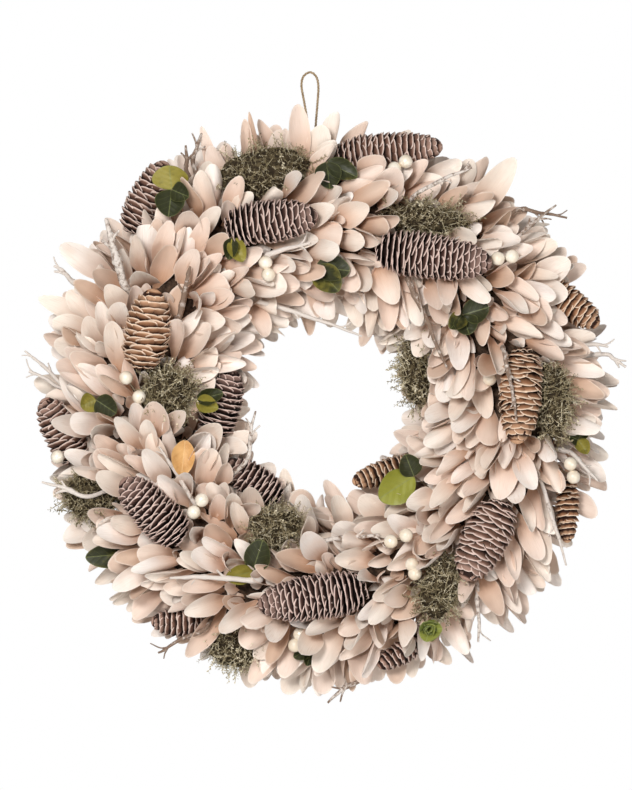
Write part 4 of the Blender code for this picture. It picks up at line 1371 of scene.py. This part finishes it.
# %% Cone scales
SCALE_ANGLES = (                 # share of the length, and a scale's degrees from the axis there
    (0.0, 100), (0.12, 76), (0.3, 62), (0.55, 52), (0.75, 42), (0.86, 28), (0.94, 0), (1.0, -45))
SCALE_REACH = (                  # share of the length, and of the radius at which scales end there
    (0.0, 0.34), (0.08, 0.76), (0.22, 0.95), (0.40, 1.0), (0.60, 0.95), (0.78, 0.82), (0.88, 0.67),
    (0.95, 0.45), (1.0, 0.12))
CROWN_START = 0.74               # from here to the tip the scales turn paler
SCALES_PER_TURN = 8.5            # so that each stands over a gap of the turn below
SCALE_TURN = 360 / SCALES_PER_TURN
FOOT_SHARE = 0.22                # of the way out, where the longest scales start
LEAST_SINE = 0.25                # so that scales along the axis get no longer than others
SCALE_SIZES = (1.1, 0.65)        # radii: the longest scale at the base, and how much less at the tip
LEAST_WIDTH = 0.42               # radii
SCALE_LENGTHS = (0.93, 1.03)     # shares by which lengths vary
CONE_KINDS = {                   # mm a turn, lean in degrees, width, cup, unevenness, thickness
    "cone_brown": (3.9, -6, 1.25, 1.6, 0.8, 0.8), "cone_dark": (3.8, 6, 1.35, 0.9, 0.5, 1.0),
    "cone_tan": (4.0, -8, 1.25, 2.0, 1.0, 0.7)}


def cone_rows(name, draw):
    """One row of values for each scale of a cone, from its base to its tip."""
    base, along, length = cone_axis(name)
    radius = CONES[name][4] / 2
    across, other = across_cone(along)
    pitch, lean, broad, cup, uneven, _ = CONE_KINDS[CONES[name][5]]
    count = round(length / pitch * SCALES_PER_TURN)
    rows = []
    for index in range(count):
        share = (index + 0.5) / count
        turn = math.radians(index * SCALE_TURN + draw.uniform(-5, 5) * uneven)
        outward = across * math.cos(turn) + other * math.sin(turn)
        spread = lean * (1 - share ** 3) + draw.uniform(-7, 7) * uneven
        angle = math.radians(from_table(SCALE_ANGLES, share) + spread)
        surface = radius * from_table(SCALE_REACH, share)
        core = surface * FOOT_SHARE
        most = radius * (SCALE_SIZES[0] - SCALE_SIZES[1] * share)
        size = min((surface - core) / max(math.sin(angle), LEAST_SINE), most)
        core = max(core, surface - size * math.sin(angle))
        size = size * draw.uniform(*SCALE_LENGTHS)
        spot = length * share - size * math.cos(angle)
        rows.append({
            "foot": base + (along * spot + outward * core) * MM,
            "forward": outward * math.sin(angle) + along * math.cos(angle),
            "face": along * math.sin(angle) - outward * math.cos(angle), "length": size,
            "width": max(2 * math.pi * surface / SCALES_PER_TURN * broad, radius * LEAST_WIDTH),
            "cup": cup * draw.uniform(0.6, 1.4), "curl": 0.06, "twist": draw.uniform(-0.3, 0.3) * uneven,
            "tone": draw.random(), "crown": max(share - CROWN_START, 0) / (1 - CROWN_START)})
    return rows


def scale_outline(along):
    """Width of a scale: a narrow claw that widens to a broad round tip."""
    return 0.32 + 0.72 * min(along / 0.55, 1.0) + 0.3 * max(along - 0.55, 0)


def cone_finish(name, foot, body, tip, edge):
    """Dark feet of painted shade, a streaked body, a pale tip and a paler edge of painted highlight."""
    material, graph, shader, spot = new_finish(name, 0.78, 0.25)
    along, rim, tone, crown = (attribute(graph, key) for key in ("along", "rim", "tone", "crown"))
    own = graph.vector(attribute(graph, "aside") * 30, along * 3, tone * 53)
    streaks = graph.noise(own, 1.6, 4.0, 0.6)
    patches = graph.noise(spot, 110.0, 3.0)
    # painted shade: the foot of each scale, deep between the scales, is nearly black
    colour = graph.mix(graph.smooth(along + (streaks - 0.5) * 0.2, 0.52, 0.86), foot, body)
    colour = graph.mix(graph.smooth(along + (patches - 0.5) * 0.2, 0.82, 0.97), colour, tip)
    paler = graph.smooth(crown, 0.0, 0.8) * graph.smooth(along, 0.4, 0.8)
    colour = graph.mix(paler * 0.7, colour, tip)
    # painted highlight: the rim of each scale's outer part is paler, where light catches it
    colour = graph.mix(graph.smooth(rim, 0.87, 0.97) * graph.smooth(along, 0.5, 0.75), colour, edge)
    colour = graph.mix(graph.smooth(patches, 0.52, 0.70) * 0.35 * tone, colour, foot)
    graph.feed(shader.inputs["Base Color"], colour)
    graph.feed(shader.inputs["Roughness"], 0.70 + streaks * 0.2)
    bump(graph, shader, streaks + patches, 0.0005, 0.7)
    return material


# the foot colours are painted shade, and the edge colours a painted highlight
CONE_COLOURS = {                 # of the foot, the body, the tip and the edge of a scale
    "cone_brown": ((0.022, 0.009, 0.006), (0.17, 0.085, 0.058), (0.47, 0.30, 0.235), (0.76, 0.59, 0.51)),
    "cone_dark": ((0.018, 0.007, 0.005), (0.07, 0.032, 0.024), (0.30, 0.19, 0.155), (0.72, 0.54, 0.47)),
    "cone_tan": ((0.035, 0.012, 0.006), (0.32, 0.15, 0.075), (0.60, 0.36, 0.22), (0.84, 0.64, 0.48))}
CONE_FINISHES = {kind: cone_finish(kind, *colours) for kind, colours in CONE_COLOURS.items()}
SCALE_BLADE = flat_blade("scale_blade", 4, 4, scale_outline)

# %% Cone cores
CORE_SIDES = 10
CORE_PARTS = (                   # share of the length, and part of the solid's radius there
    (0.02, 0.45), (0.12, 0.45), (0.35, 0.45), (0.6, 0.5), (0.8, 0.65), (0.92, 0.9), (0.97, 0.9),
    (0.99, 0.5))
TIP_START = 0.95                 # share of the length past which the core shows among the scales
TIP_LOOK = 0.95                  # there it looks like this place along a scale
CONE_WIRE = 1.8
WIRE_PLACES = (0.2, 0.8)         # shares of the length between which a wire holds a cone
WIRE_NEEDED = 1.1                # radii from the axis to the wire's end, from which a wire shows


def spindle(name):
    """The core of a cone that its scales stand on."""
    base, along, length = cone_axis(name)
    radius = CONES[name][4] / 2
    across, other = across_cone(along)
    turns = [2 * math.pi * side / CORE_SIDES for side in range(CORE_SIDES)]
    sections = []
    for share, part in CORE_PARTS:
        reach = radius * from_table(CONE_PROFILE, share) * part * MM
        middle = base + along * (length * share * MM)
        sections.append([middle + (across * math.cos(turn) + other * math.sin(turn)) * reach
                         for turn in turns])
    mesh = outward_mesh(name + "_core", *swept(sections, closed_path=False))
    shares = [(vertex.co - base).dot(along) / (length * MM) for vertex in mesh.vertices]
    # the core takes the colour of a scale's foot, painted shade between the scales, and near its tip the
    # colour of a scale's tip
    tips = [TIP_LOOK if share > TIP_START else 0.0 for share in shares]
    mesh.attributes.new("along", "FLOAT", "POINT").data.foreach_set("value", tips)
    return mesh


draw = random.Random(SEED + 3)
for name in CONES:
    kind = CONES[name][5]
    scales = grow(name + "_points", carrier(name, cone_rows(name, draw)), BLADES, {
        "Blade": SCALE_BLADE, "Thickness": CONE_KINDS[kind][5], "Ripple": 1.7 * CONE_KINDS[kind][4],
        "Ripple Scale": 2.2, "Relief": 0.0, "Finish": CONE_FINISHES[kind]})
    core = spindle(name)
    core.materials.append(CONE_FINISHES[kind])
    parts = [scales, core]
    base, along, length = cone_axis(name)
    end, _ = wire_end(name)
    share = min(max((end - base).dot(along) / (length * MM), WIRE_PLACES[0]), WIRE_PLACES[1])
    middle = base + along * (length * share * MM)
    if (end - middle).length > CONES[name][4] / 2 * WIRE_NEEDED * MM:
        parts += wire_meshes(name, middle, CONE_WIRE)
        print(name, "stands on a wire")
    dress(name.replace("cone", "fir_cone"), parts, kind, name)
bpy.data.objects.remove(SCALE_BLADE)

# %% [markdown]
# ## Moss
#
# A tuft of dry moss is a felt of tiny branched shoots. Geometry Nodes scatter about 500
# shoots over a copy of the tuft's own solid, whose loose triangles are merged first, so the
# tuft keeps its place and its room between the cones. Each shoot stands off the surface at
# a random slant, and longer shoots break the outline.

# %% Moss shoot
GOLDEN_ANGLE = 137.508           # degrees from one leaflet to the next, as plants grow them
SHOOT_LENGTH = 7.5
SHOOT_LEAFLETS = 9
SHOOT_SEED = 3


def shoot_mesh(length, leaflets, draw):
    """A bent stem with small pointed leaflets on all sides."""
    bend = Vector((draw.uniform(-0.25, 0.25), draw.uniform(-0.25, 0.25), 0))
    stem = [(Vector((0, 0, t)) + bend * t * t) * length * MM for t in (-0.1, 0.5, 1.0)]
    shapes = [tube(stem, [0.4 * MM, 0.35 * MM, 0.2 * MM], 3)]
    for index in range(leaflets):
        t = 0.25 + 0.75 * index / (leaflets - 1)
        turn = index * math.radians(GOLDEN_ANGLE)
        foot = (Vector((0, 0, t)) + bend * t * t) * length * MM
        out = Vector((math.cos(turn), math.sin(turn), draw.uniform(0.4, 1.0))).normalized()
        aside = out.orthogonal().normalized()
        size = draw.uniform(1.0, 1.7) * MM
        middle, half = foot + out * (size * 0.5), aside * (size * 0.24)
        thick = out.cross(aside) * (0.28 * MM)
        corners = [foot, middle + half, foot + out * size, middle - half + thick]
        shapes.append((corners, [(0, 1, 2), (0, 2, 3), (0, 3, 1), (1, 3, 2)]))
    return merged("shoot", shapes)


# %% Moss tree
SLANT = (1.25, 1.25, 3.1)        # radians by which a shoot may be turned either way
MOSS_TONES = (0.35, 1.0)
MOSS_GRAIN = 330.0               # noise cells in a metre, on the tuft under the shoots


def moss_tree():
    """Scatters shoots over a tuft and swells the tuft itself."""
    tree, graph, given, end = new_tree("moss_on_tuft", (
        ("Tuft", "Geometry"), ("Shoot", "Object"), ("Density", "Float"), ("Seed", "Int"),
        ("Swell", "Float"), ("Finish", "Material")), "Moss")
    scattered = graph.node("GeometryNodeDistributePointsOnFaces", {"distribute_method": "RANDOM"},
                           {"Mesh": given["Tuft"], "Density": given["Density"], "Seed": given["Seed"]})
    slant = graph.get("FunctionNodeRandomValue", 0, {"data_type": "FLOAT_VECTOR"},
                      {0: [-turn for turn in SLANT], 1: SLANT, "Seed": given["Seed"]})
    turned = graph.get("FunctionNodeRotateRotation", "Rotation", {"rotation_space": "LOCAL"}, {
        "Rotation": Value(graph, scattered.outputs["Rotation"]),
        "Rotate By": graph.get("FunctionNodeEulerToRotation", "Rotation", None, {"Euler": slant})})
    size = graph.get("FunctionNodeRandomValue", 1, {"data_type": "FLOAT"},
                     {2: 0.0, 3: 1.0, "Seed": given["Seed"]})
    copies = graph.get("GeometryNodeInstanceOnPoints", "Instances", None, {
        "Points": Value(graph, scattered.outputs["Points"]),
        "Instance": graph.get("GeometryNodeObjectInfo", "Geometry", None, {"Object": given["Shoot"]}),
        "Rotation": turned, "Scale": 0.5 + size ** 3 * 1.1})
    tone = graph.get("FunctionNodeRandomValue", 1, {"data_type": "FLOAT"},
                     {2: MOSS_TONES[0], 3: MOSS_TONES[1], "Seed": 5})
    tinted = graph.get("GeometryNodeStoreNamedAttribute", "Geometry",
                       {"data_type": "FLOAT", "domain": "INSTANCE"},
                       {"Geometry": copies, "Name": "tone", "Value": tone})
    real = graph.get("GeometryNodeRealizeInstances", "Geometry", None, {"Geometry": tinted})
    fine = graph.get("GeometryNodeSubdivideMesh", "Mesh", None, {"Mesh": given["Tuft"], "Level": 2})
    wave = graph.noise(graph.get("GeometryNodeInputPosition", "Position"), MOSS_GRAIN, 4.0, 0.6) - 0.7
    outward = graph.get("GeometryNodeInputNormal", "Normal")
    core = graph.get("GeometryNodeSetPosition", "Geometry", None,
                     {"Geometry": fine, "Offset": outward * (wave * given["Swell"] * MM)})
    joined = graph.node("GeometryNodeJoinGeometry")
    for part in (real, core):
        tree.links.new(part.socket, joined.inputs[0])
    graph.feed(end.inputs[0], graph.get("GeometryNodeSetMaterial", "Geometry", None, {
        "Geometry": Value(graph, joined.outputs[0]), "Material": given["Finish"]}))
    return tree


# %% Moss tufts
SHOOTS_ON_TUFT = 530
TUFT_SWELL = 5.0                 # mm, at the most


def solid_copy(node):
    """A copy of a solid's mesh whose loose triangles are merged."""
    work = bmesh.new()
    work.from_mesh(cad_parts[node].data)
    bmesh.ops.remove_doubles(work, verts=work.verts, dist=0.001 * MM)
    mesh = bpy.data.meshes.new(node + "_copy")
    work.to_mesh(mesh)
    work.free()
    return mesh


moss_finish, graph, shader, spot = new_finish("moss", 0.9, 0.15)
tone = attribute(graph, "tone")
speckle = graph.noise(spot, 420.0, 3.0, 0.6)
clouds = graph.noise(spot, 60.0, 2.0)
olive = graph.ramp(tone * 0.7 + graph.smooth(speckle, 0.42, 0.68) * (tone * 0.25 + 0.2), (
    (0.0, (0.030, 0.021, 0.012)), (0.3, (0.15, 0.115, 0.06)), (0.6, (0.38, 0.315, 0.19)),
    (1.0, (0.82, 0.74, 0.56))))
colour = graph.mix(graph.smooth(clouds, 0.45, 0.7) * 0.4 * tone, olive, (0.20, 0.17, 0.08))
graph.feed(shader.inputs["Base Color"], colour)
bump(graph, shader, speckle, 0.0006)
MOSS_TREE = moss_tree()
shoot = bpy.data.objects.new("shoot", shoot_mesh(SHOOT_LENGTH, SHOOT_LEAFLETS, random.Random(SHOOT_SEED)))
scene.collection.objects.link(shoot)
for index, name in enumerate(sorted(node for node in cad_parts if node.startswith("moss"))):
    mesh = solid_copy(name)
    area = sum(polygon.area for polygon in mesh.polygons)
    tuft = grow(name + "_tuft", mesh, MOSS_TREE, {
        "Shoot": shoot, "Density": SHOOTS_ON_TUFT / area, "Seed": index,
        "Swell": TUFT_SWELL, "Finish": moss_finish})
    dress(name.replace("moss", "moss_tuft"), [tuft], "moss", name)
bpy.data.objects.remove(shoot)

# %% [markdown]
# ## Box leaves
#
# The sprigs are real preserved leaves: broad, leathery, with a pale rib down the middle
# and veins that run off it, some dark green, some yellow green in patches. Each leaf is a
# blade with that relief. The rib and the veins are drawn once more in the material, from
# the same place along and across the leaf.

# %% Leaf tables
LEAVES = {                       # x and z, then heading, length, width and tone of each leaf
    "box_sprig_01": (-99.5, 139.5, ((95, 16, 22, 0.72), (-95, 20, 18, 0.12), (-25, 15, 12, 0.05))),
    "box_sprig_02": (-60.5, 108.0, ((-66, 18, 11, 0.80), (-96, 16, 9, 0.10))),
    "box_sprig_03": (0.5, 158.0, ((-28, 23, 13, 0.20), (-84, 20, 16, 0.05))),
    "box_sprig_04": (-6.5, 90.0, ((-8, 23, 16, 0.10), (-48, 24, 17, 0.35))),
    "box_sprig_05": (88.5, 59.0, ((16, 18, 15, 0.10), (-74, 15, 15, 0.15), (-132, 15, 11, 0.30))),
    "box_sprig_06": (-149.0, 4.0, ((205, 11, 12, 0.65), (-32, 18, 14, 0.10))),
    "box_sprig_07": (-84.0, 4.0, ((14, 19, 10, 0.15), (-22, 17, 11, 0.70))),
    "box_sprig_08": (-129.5, -96.5, ((184, 28, 15, 0.25),)),
    "box_sprig_09": (-47.5, -107.0, ((72, 23, 16, 0.10), (192, 19, 12, 0.85))),
    "box_sprig_10": (-8.5, -156.5, ((208, 15, 9, 0.10), (-108, 14, 8, 0.15), (-62, 16, 9, 0.10))),
    "box_sprig_11": (57.0, -45.5, ((212, 28, 21, 0.95), (112, 17, 14, 0.05))),
    "box_sprig_12": (164.5, -22.0, ((72, 12, 9, 0.35), (-58, 12, 9, 0.65), (160, 9, 8, 0.15))),
    "lime_rosette": (66.5, -144.5, ((10, 12, 13, 0.90), (130, 12, 13, 0.80), (250, 14, 13, 0.95))),
    "orange_leaf": (-91.0, -22.0, ((-95, 24, 14, 0.50),))}
LEAF_RISE = 16                   # degrees by which the first leaf stands off the plane
LEAF_RISE_STEP = 7               # and each further leaf stands off so much more
ROSETTE_RISE = 42
LEAF_BEND = (1.8, -0.04)         # cup and curl of the solids
CUP_GROWTH = 2.2                 # times the cup of the solids
HEART_TONES = (0.95, 0.5, 0.9, 0.6, 0.95)
HEART_CUP = 2.2
LEAF_WIRE = 1.2
VEINS = 5


def rosette_heart(outer):
    """Smaller curled leaves that close the middle of a rosette."""
    rows = []
    for index, tone in enumerate(HEART_TONES):
        angle, lift = math.radians(40 + 72 * index), math.radians(58 + 4 * index)
        forward = Vector((math.cos(angle), -math.tan(lift), math.sin(angle)))
        row = blade_row(outer[0]["foot"], forward, FRONT, 9.5 - index * 0.6, 9.0, HEART_CUP, -0.10)
        row.update({"twist": 0.4, "tone": tone})
        rows.append(row)
    for row in outer:
        row["cup"] = HEART_CUP
    return rows


def leaf_rows(name):
    """One row of values for each leaf, at the depth of its solid."""
    x, z, leaves = LEAVES[name]
    rise = ROSETTE_RISE if name == "lime_rosette" else LEAF_RISE
    rows = []
    for index, (heading, length, width, tone) in enumerate(leaves):
        angle, lift = math.radians(heading), math.radians(rise + LEAF_RISE_STEP * index)
        forward = Vector((math.cos(angle), -math.tan(lift), math.sin(angle)))
        row = blade_row(place(x, z, 0), forward, FRONT, length, width, *LEAF_BEND)
        row.update({"twist": 0.35 - 0.3 * index, "tone": tone})
        rows.append(row)
    if name == "lime_rosette":
        rows += rosette_heart(rows)
    tip = blade_at(rows[0], 1, 0, 0.4)
    near = [vertex.co.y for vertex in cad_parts[name].data.vertices
            if math.hypot(vertex.co.x - tip.x, vertex.co.z - tip.z) < 0.8 * MM]
    shift = Vector((0, (min(near) + max(near)) / 2 - tip.y, 0))
    for row in rows:
        row["foot"] = row["foot"] + shift
        row["cup"] = row["cup"] * CUP_GROWTH
    return rows


def leaf_outline(along):
    """Width of a leaf that is broadest below its middle."""
    return 0.86 + 0.22 * math.sin(math.pi * min(along * 0.9 + 0.05, 1.0))


def leaf_relief(along, aside):
    """The sunk rib and veins of a leaf."""
    rib = math.exp(-(aside / 0.035) ** 2)
    vein = abs((along - abs(aside) * 0.7) * VEINS % 1.0 - 0.5) * 2
    return -rib - 0.35 * (1 - vein) * min(abs(aside) * 6, 1.0)


# %% Leaf finish
def leaf_finish(name, dark, light, fresh, vein_colour, roughness):
    """A waxy leaf that is dark, yellow or fresh by its tone, with pale veins and edge."""
    material, graph, shader, spot = new_finish(name, roughness, 0.4)
    shader.inputs["Coat Weight"].default_value = 0.2
    shader.inputs["Coat Roughness"].default_value = 0.3
    along, aside, tone, rim = (attribute(graph, key) for key in ("along", "aside", "tone", "rim"))
    patches = graph.noise(spot, 130.0, 3.0, 0.6)
    share = graph.smooth(tone + (patches - 0.5) * 0.9 + graph.smooth(rim, 0.6, 1.0) * 0.10, 0.25, 0.75)
    colour = graph.mix(share, dark, graph.mix(graph.smooth(tone, 0.86, 0.92), light, fresh))
    broad = graph.get("ShaderNodeMath", "Value", {"operation": "ABSOLUTE"}, {0: aside})
    wave = graph.get("ShaderNodeMath", "Value", {"operation": "PINGPONG"},
                     {0: (along - broad * 0.7) * VEINS, 1: 0.5})
    side_veins = graph.smooth(wave, 0.06, 0.0) * graph.smooth(rim, 1.0, 0.7)
    rib = graph.smooth(broad, 0.028, 0.008)
    colour = graph.mix(side_veins * 0.2 + rib * 0.5, colour, vein_colour)
    colour = graph.mix(graph.smooth(rim, 0.93, 1.0) * 0.5, colour, vein_colour)
    graph.feed(shader.inputs["Base Color"], colour)
    graph.feed(shader.inputs["Roughness"], roughness + patches * 0.15)
    bump(graph, shader, patches - wave, 0.0006, 0.6)
    return material


LEAF_FINISHES = {
    "box_leaf": leaf_finish("box_leaf", (0.026, 0.029, 0.008), (0.27, 0.225, 0.035), (0.25, 0.25, 0.025),
                            (0.20, 0.22, 0.07), 0.45),
    "lime_leaf": leaf_finish("lime_leaf", (0.045, 0.065, 0.018), (0.17, 0.20, 0.045), (0.32, 0.34, 0.07),
                             (0.46, 0.52, 0.22), 0.45),
    "orange_leaf": leaf_finish("orange_leaf", (0.50, 0.24, 0.07), (0.70, 0.40, 0.15), (0.72, 0.48, 0.22),
                               (0.76, 0.52, 0.26), 0.6)}
LEAF_BLADE = flat_blade("leaf_blade", 12, 14, leaf_outline, leaf_relief)
for name in LEAVES:
    slot = name if name == "orange_leaf" else {"lime_rosette": "lime_leaf"}.get(name, "box_leaf")
    rows = leaf_rows(name)
    leaves = grow(name + "_points", carrier(name, rows), BLADES, {
        "Blade": LEAF_BLADE, "Thickness": 0.6, "Ripple": 2.2, "Ripple Scale": 1.8, "Relief": 0.5,
        "Finish": LEAF_FINISHES[slot]})
    wire = wire_meshes(name, rows[0]["foot"], LEAF_WIRE)
    dress(name.replace("sprig", "leaves") + "_fine", [leaves, *wire], slot, name)
bpy.data.objects.remove(LEAF_BLADE)

# %% [markdown]
# ## Ivory beads
#
# Pearl beads of 9 mm sit on thin wire in ones and twos. A bead is a plain round form, so a
# sphere with many facets is right for it. The sphere operator lists its faces in another
# order each time, so they are sorted, and every run makes the same mesh. The bead's look is
# in the finish: ivory in soft clouds, under a clear coat.

# %% Beads
BEADS = {                        # x and z of each bead of a pick
    "beads_01": ((44.2, 153.4), (51.4, 158.0)), "beads_02": ((-39.0, 92.3), (-37.1, 84.5)),
    "beads_03": ((110.5, 94.9), (119.6, 96.2)), "beads_04": ((-128.7, 18.2), (-120.3, 5.9)),
    "beads_05": ((-85.2, -68.3), (-80.0, -60.5)), "beads_06": ((-16.9, -147.6), (-20.2, -154.7)),
    "beads_07": ((41.6, -87.1), (51.4, -83.2)), "beads_08": ((55.3, -102.1), (57.2, -107.9)),
    "beads_09": ((160.6, -46.1), (158.6, -37.6)), "bead_10": ((105.3, 17.6),), "bead_11": ((-174.2, -33.0),)}
BEAD_DIAMETER = 9.0
BEAD_SEGMENTS = (28, 18)
BEAD_WIRE = 1.0

bead_finish, graph, shader, spot = new_finish("bead_ivory", 0.3, 0.5)
shader.inputs["Coat Weight"].default_value = 1.0
shader.inputs["Coat Roughness"].default_value = 0.08
pearl = graph.noise(spot, 120.0, 2.0)
colour = graph.mix(graph.smooth(pearl, 0.3, 0.7), (0.78, 0.66, 0.50), (0.88, 0.81, 0.69))
graph.feed(shader.inputs["Base Color"], colour)
graph.feed(shader.inputs["Roughness"], 0.2 + pearl * 0.12)


def bead_meshes(name):
    """The beads of a pick and the wire that holds them."""
    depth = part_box(name)[0].y + BEAD_DIAMETER / 2 * MM
    work = bmesh.new()
    spots = []
    for x, z in BEADS[name]:
        spot = place(x, z, 0)
        spot.y = depth
        spots.append(spot)
        bmesh.ops.create_uvsphere(work, u_segments=BEAD_SEGMENTS[0], v_segments=BEAD_SEGMENTS[1],
                                  radius=BEAD_DIAMETER / 2 * MM, matrix=Matrix.Translation(spot))
    work.verts.index_update()
    points = [vertex.co.copy() for vertex in work.verts]
    faces = sorted([vertex.index for vertex in face.verts] for face in work.faces)
    work.free()
    mesh = bpy.data.meshes.new(name)
    mesh.from_pydata(points, [], faces)
    mesh.shade_smooth()
    mesh.materials.append(bead_finish)
    meshes = [mesh, *wire_meshes(name, spots[0], BEAD_WIRE)]
    if len(spots) > 1:
        link = merged(name + "_link", [tube(spots, [BEAD_WIRE * MM] * 2, WIRE_SIDES)])
        link.materials.append(wire_finish)
        meshes.append(link)
    return meshes


for name in BEADS:
    dress(name.replace("bead", "pearl"), bead_meshes(name), "bead_ivory", name)

# %% [markdown]
# ## Twigs
#
# The twigs are thin birch shoots, painted white so lightly that brown bark streaks show.
# They follow a path, which is work for Geometry Nodes: the path is pushed aside by noise so
# that it wanders, and skinned with a ring that swells at the knots. The height of each twig
# comes from the solids, like that of the single petals. Short side shoots fork off it,
# where they meet no cone, tuft, leaf or bead.

# %% Twigs
TWIGS = (                        # x and z of the foot and the tip, thickness, height above the crest
    (-89.7, 150.2, -91.0, 169.7, 2.2, -6), (-86.5, 157.0, -81.3, 176.8, 2.2, -6),
    (-130.0, 78.0, -141.7, 119.6, 4.2, 12), (-162.5, 79.3, -177.5, 91.0, 2.4, -8),
    (-167.7, 10.4, -197.0, 36.4, 2.0, -12), (-172.9, 11.7, -194.4, 22.8, 2.0, -14),
    (-94.9, 56.0, -86.5, 89.7, 2.6, 14), (-92.3, 0.0, -80.0, 18.9, 2.6, 10),
    (-52.0, -36.4, -45.5, -3.3, 2.0, 0), (-84.5, -63.7, -107.9, -26.0, 2.2, 16),
    (-153.4, -58.5, -183.3, -49.4, 2.2, -4), (-44.2, -112.0, -100.3, -110.4, 2.6, 14),
    (-78.0, -144.3, -109.2, -159.9, 2.2, -2), (23.4, -176.8, 1.3, -193.7, 2.4, -14),
    (97.5, -113.1, 98.8, -152.1, 2.2, 2), (139.1, -48.1, 155.4, -103.4, 2.0, 2),
    (169.0, 39.7, 184.6, 38.4, 2.2, -12), (180.7, 33.8, 195.7, 25.4, 2.2, -14),
    (122.9, 126.7, 156.0, 121.6, 2.0, 0), (120.9, 106.6, 148.2, 129.4, 2.0, 4),
    (57.2, 136.0, 93.6, 153.4, 2.2, 14), (61.1, 107.3, 94.9, 102.7, 2.2, 24),
    (-49.4, 93.6, -10.4, 104.7, 3.0, 12), (-46.2, 68.9, 23.4, 45.3, 2.2, -2),
    (53.3, 80.6, 78.0, 24.1, 2.4, 10), (113.1, 36.4, 121.6, -9.1, 2.0, 24),
    (-3.9, -88.4, 35.1, -83.2, 2.4, 8), (158.6, -29.9, 176.2, -48.8, 2.4, -8))
TWIG_TAPER = 0.45                # share of its thickness at the tip
TAPER_START = 0.6                # share of its length up to which a twig keeps its thickness
TWIG_STOUTNESS = 1.3             # times the solid's thickness, as the photo shows
SIDE_REACH = (6.0, 11.0)         # mm, about the length of a side shoot
SIDE_STARTS = (0.55, 0.88)       # shares of the twig between which a side shoot starts
SIDE_TAPER = (0.62, 0.25)        # its thickness as a share of the twig's, and how much less at its tip

twig_finish, graph, shader, spot = new_finish("twig", 0.8, 0.25)
bark = graph.noise(spot, 330.0, 4.0, 0.65)
white = graph.smooth(bark + (attribute(graph, "tone") - 0.5) * 0.6, 0.36, 0.60)
graph.feed(shader.inputs["Base Color"], graph.mix(white, (0.21, 0.14, 0.10), (0.66, 0.59, 0.53)))
bump(graph, shader, bark, 0.0006)


def side_shoots(route, widths, tone, draw):
    """Short thin shoots that leave the outer part of a twig, on either side."""
    shoots = []
    for side in (-1, 1):
        start = round((len(route) - 1) * draw.uniform(*SIDE_STARTS))
        along = (route[start + 1] - route[start]).normalized()
        aside = along.cross(FRONT).normalized() * side
        reach = draw.uniform(*SIDE_REACH) * MM
        middle = route[start] + (along * 0.45 + aside * 0.22) * reach
        leaning = along * 0.8 + aside * draw.uniform(0.45, 0.8) + FRONT * draw.uniform(-0.1, 0.3)
        end = route[start] + leaning * reach
        way = end - route[start]
        if OTHERS.ray_cast(route[start], way.normalized(), way.length * 1.2)[0]:
            continue
        shoot = smooth_route([route[start], middle, end], 4)
        thick = [widths[start] * (SIDE_TAPER[0] - SIDE_TAPER[1] * step / (len(shoot) - 1))
                 for step in range(len(shoot))]
        shoots.append((shoot, thick, tone, (start / (len(route) - 1), 1)))
    return shoots


draw = random.Random(SEED + 4)
paths = []
found = 0
for entry in TWIGS:
    for height, foot, anchor, _ in heights(entry):
        tip = place(entry[2], entry[3], CREST - height - TWIG_RISE)
        if abs(PETAL_CORNERS.find(tip)[2] - entry[4] * TWIG_TAPER * MM / 2) < MATCH:
            bend = foot.lerp(tip, 0.5) + Vector((0, -1.5, 1.0)) * MM
            route = smooth_route([anchor, foot, bend, tip], 10)
            shares = [step / (len(route) - 1) for step in range(len(route))]
            widths = [entry[4] * TWIG_STOUTNESS
                      * min(1, 1 + (TAPER_START - share) * (1 - TWIG_TAPER) / (1 - TAPER_START))
                      for share in shares]
            tone = 0.25 + 0.15 * (found % 6)
            paths.append((route, widths, tone, (0, 1)))
            paths += side_shoots(route, widths, tone, draw)
            found += 1
            break
print(found, "of", len(TWIGS), "twigs found")
twig_mesh = grow("twig_paths", path_mesh("twig_paths", paths), STALKS,
                 {"Wander": 4.0, "Knots": 0.5, "Sides": 7, "Finish": twig_finish})
dress("twigs", [twig_mesh], "petal_wood")

# %% Size
print(sum(COUNTS.values()), "triangles in all")
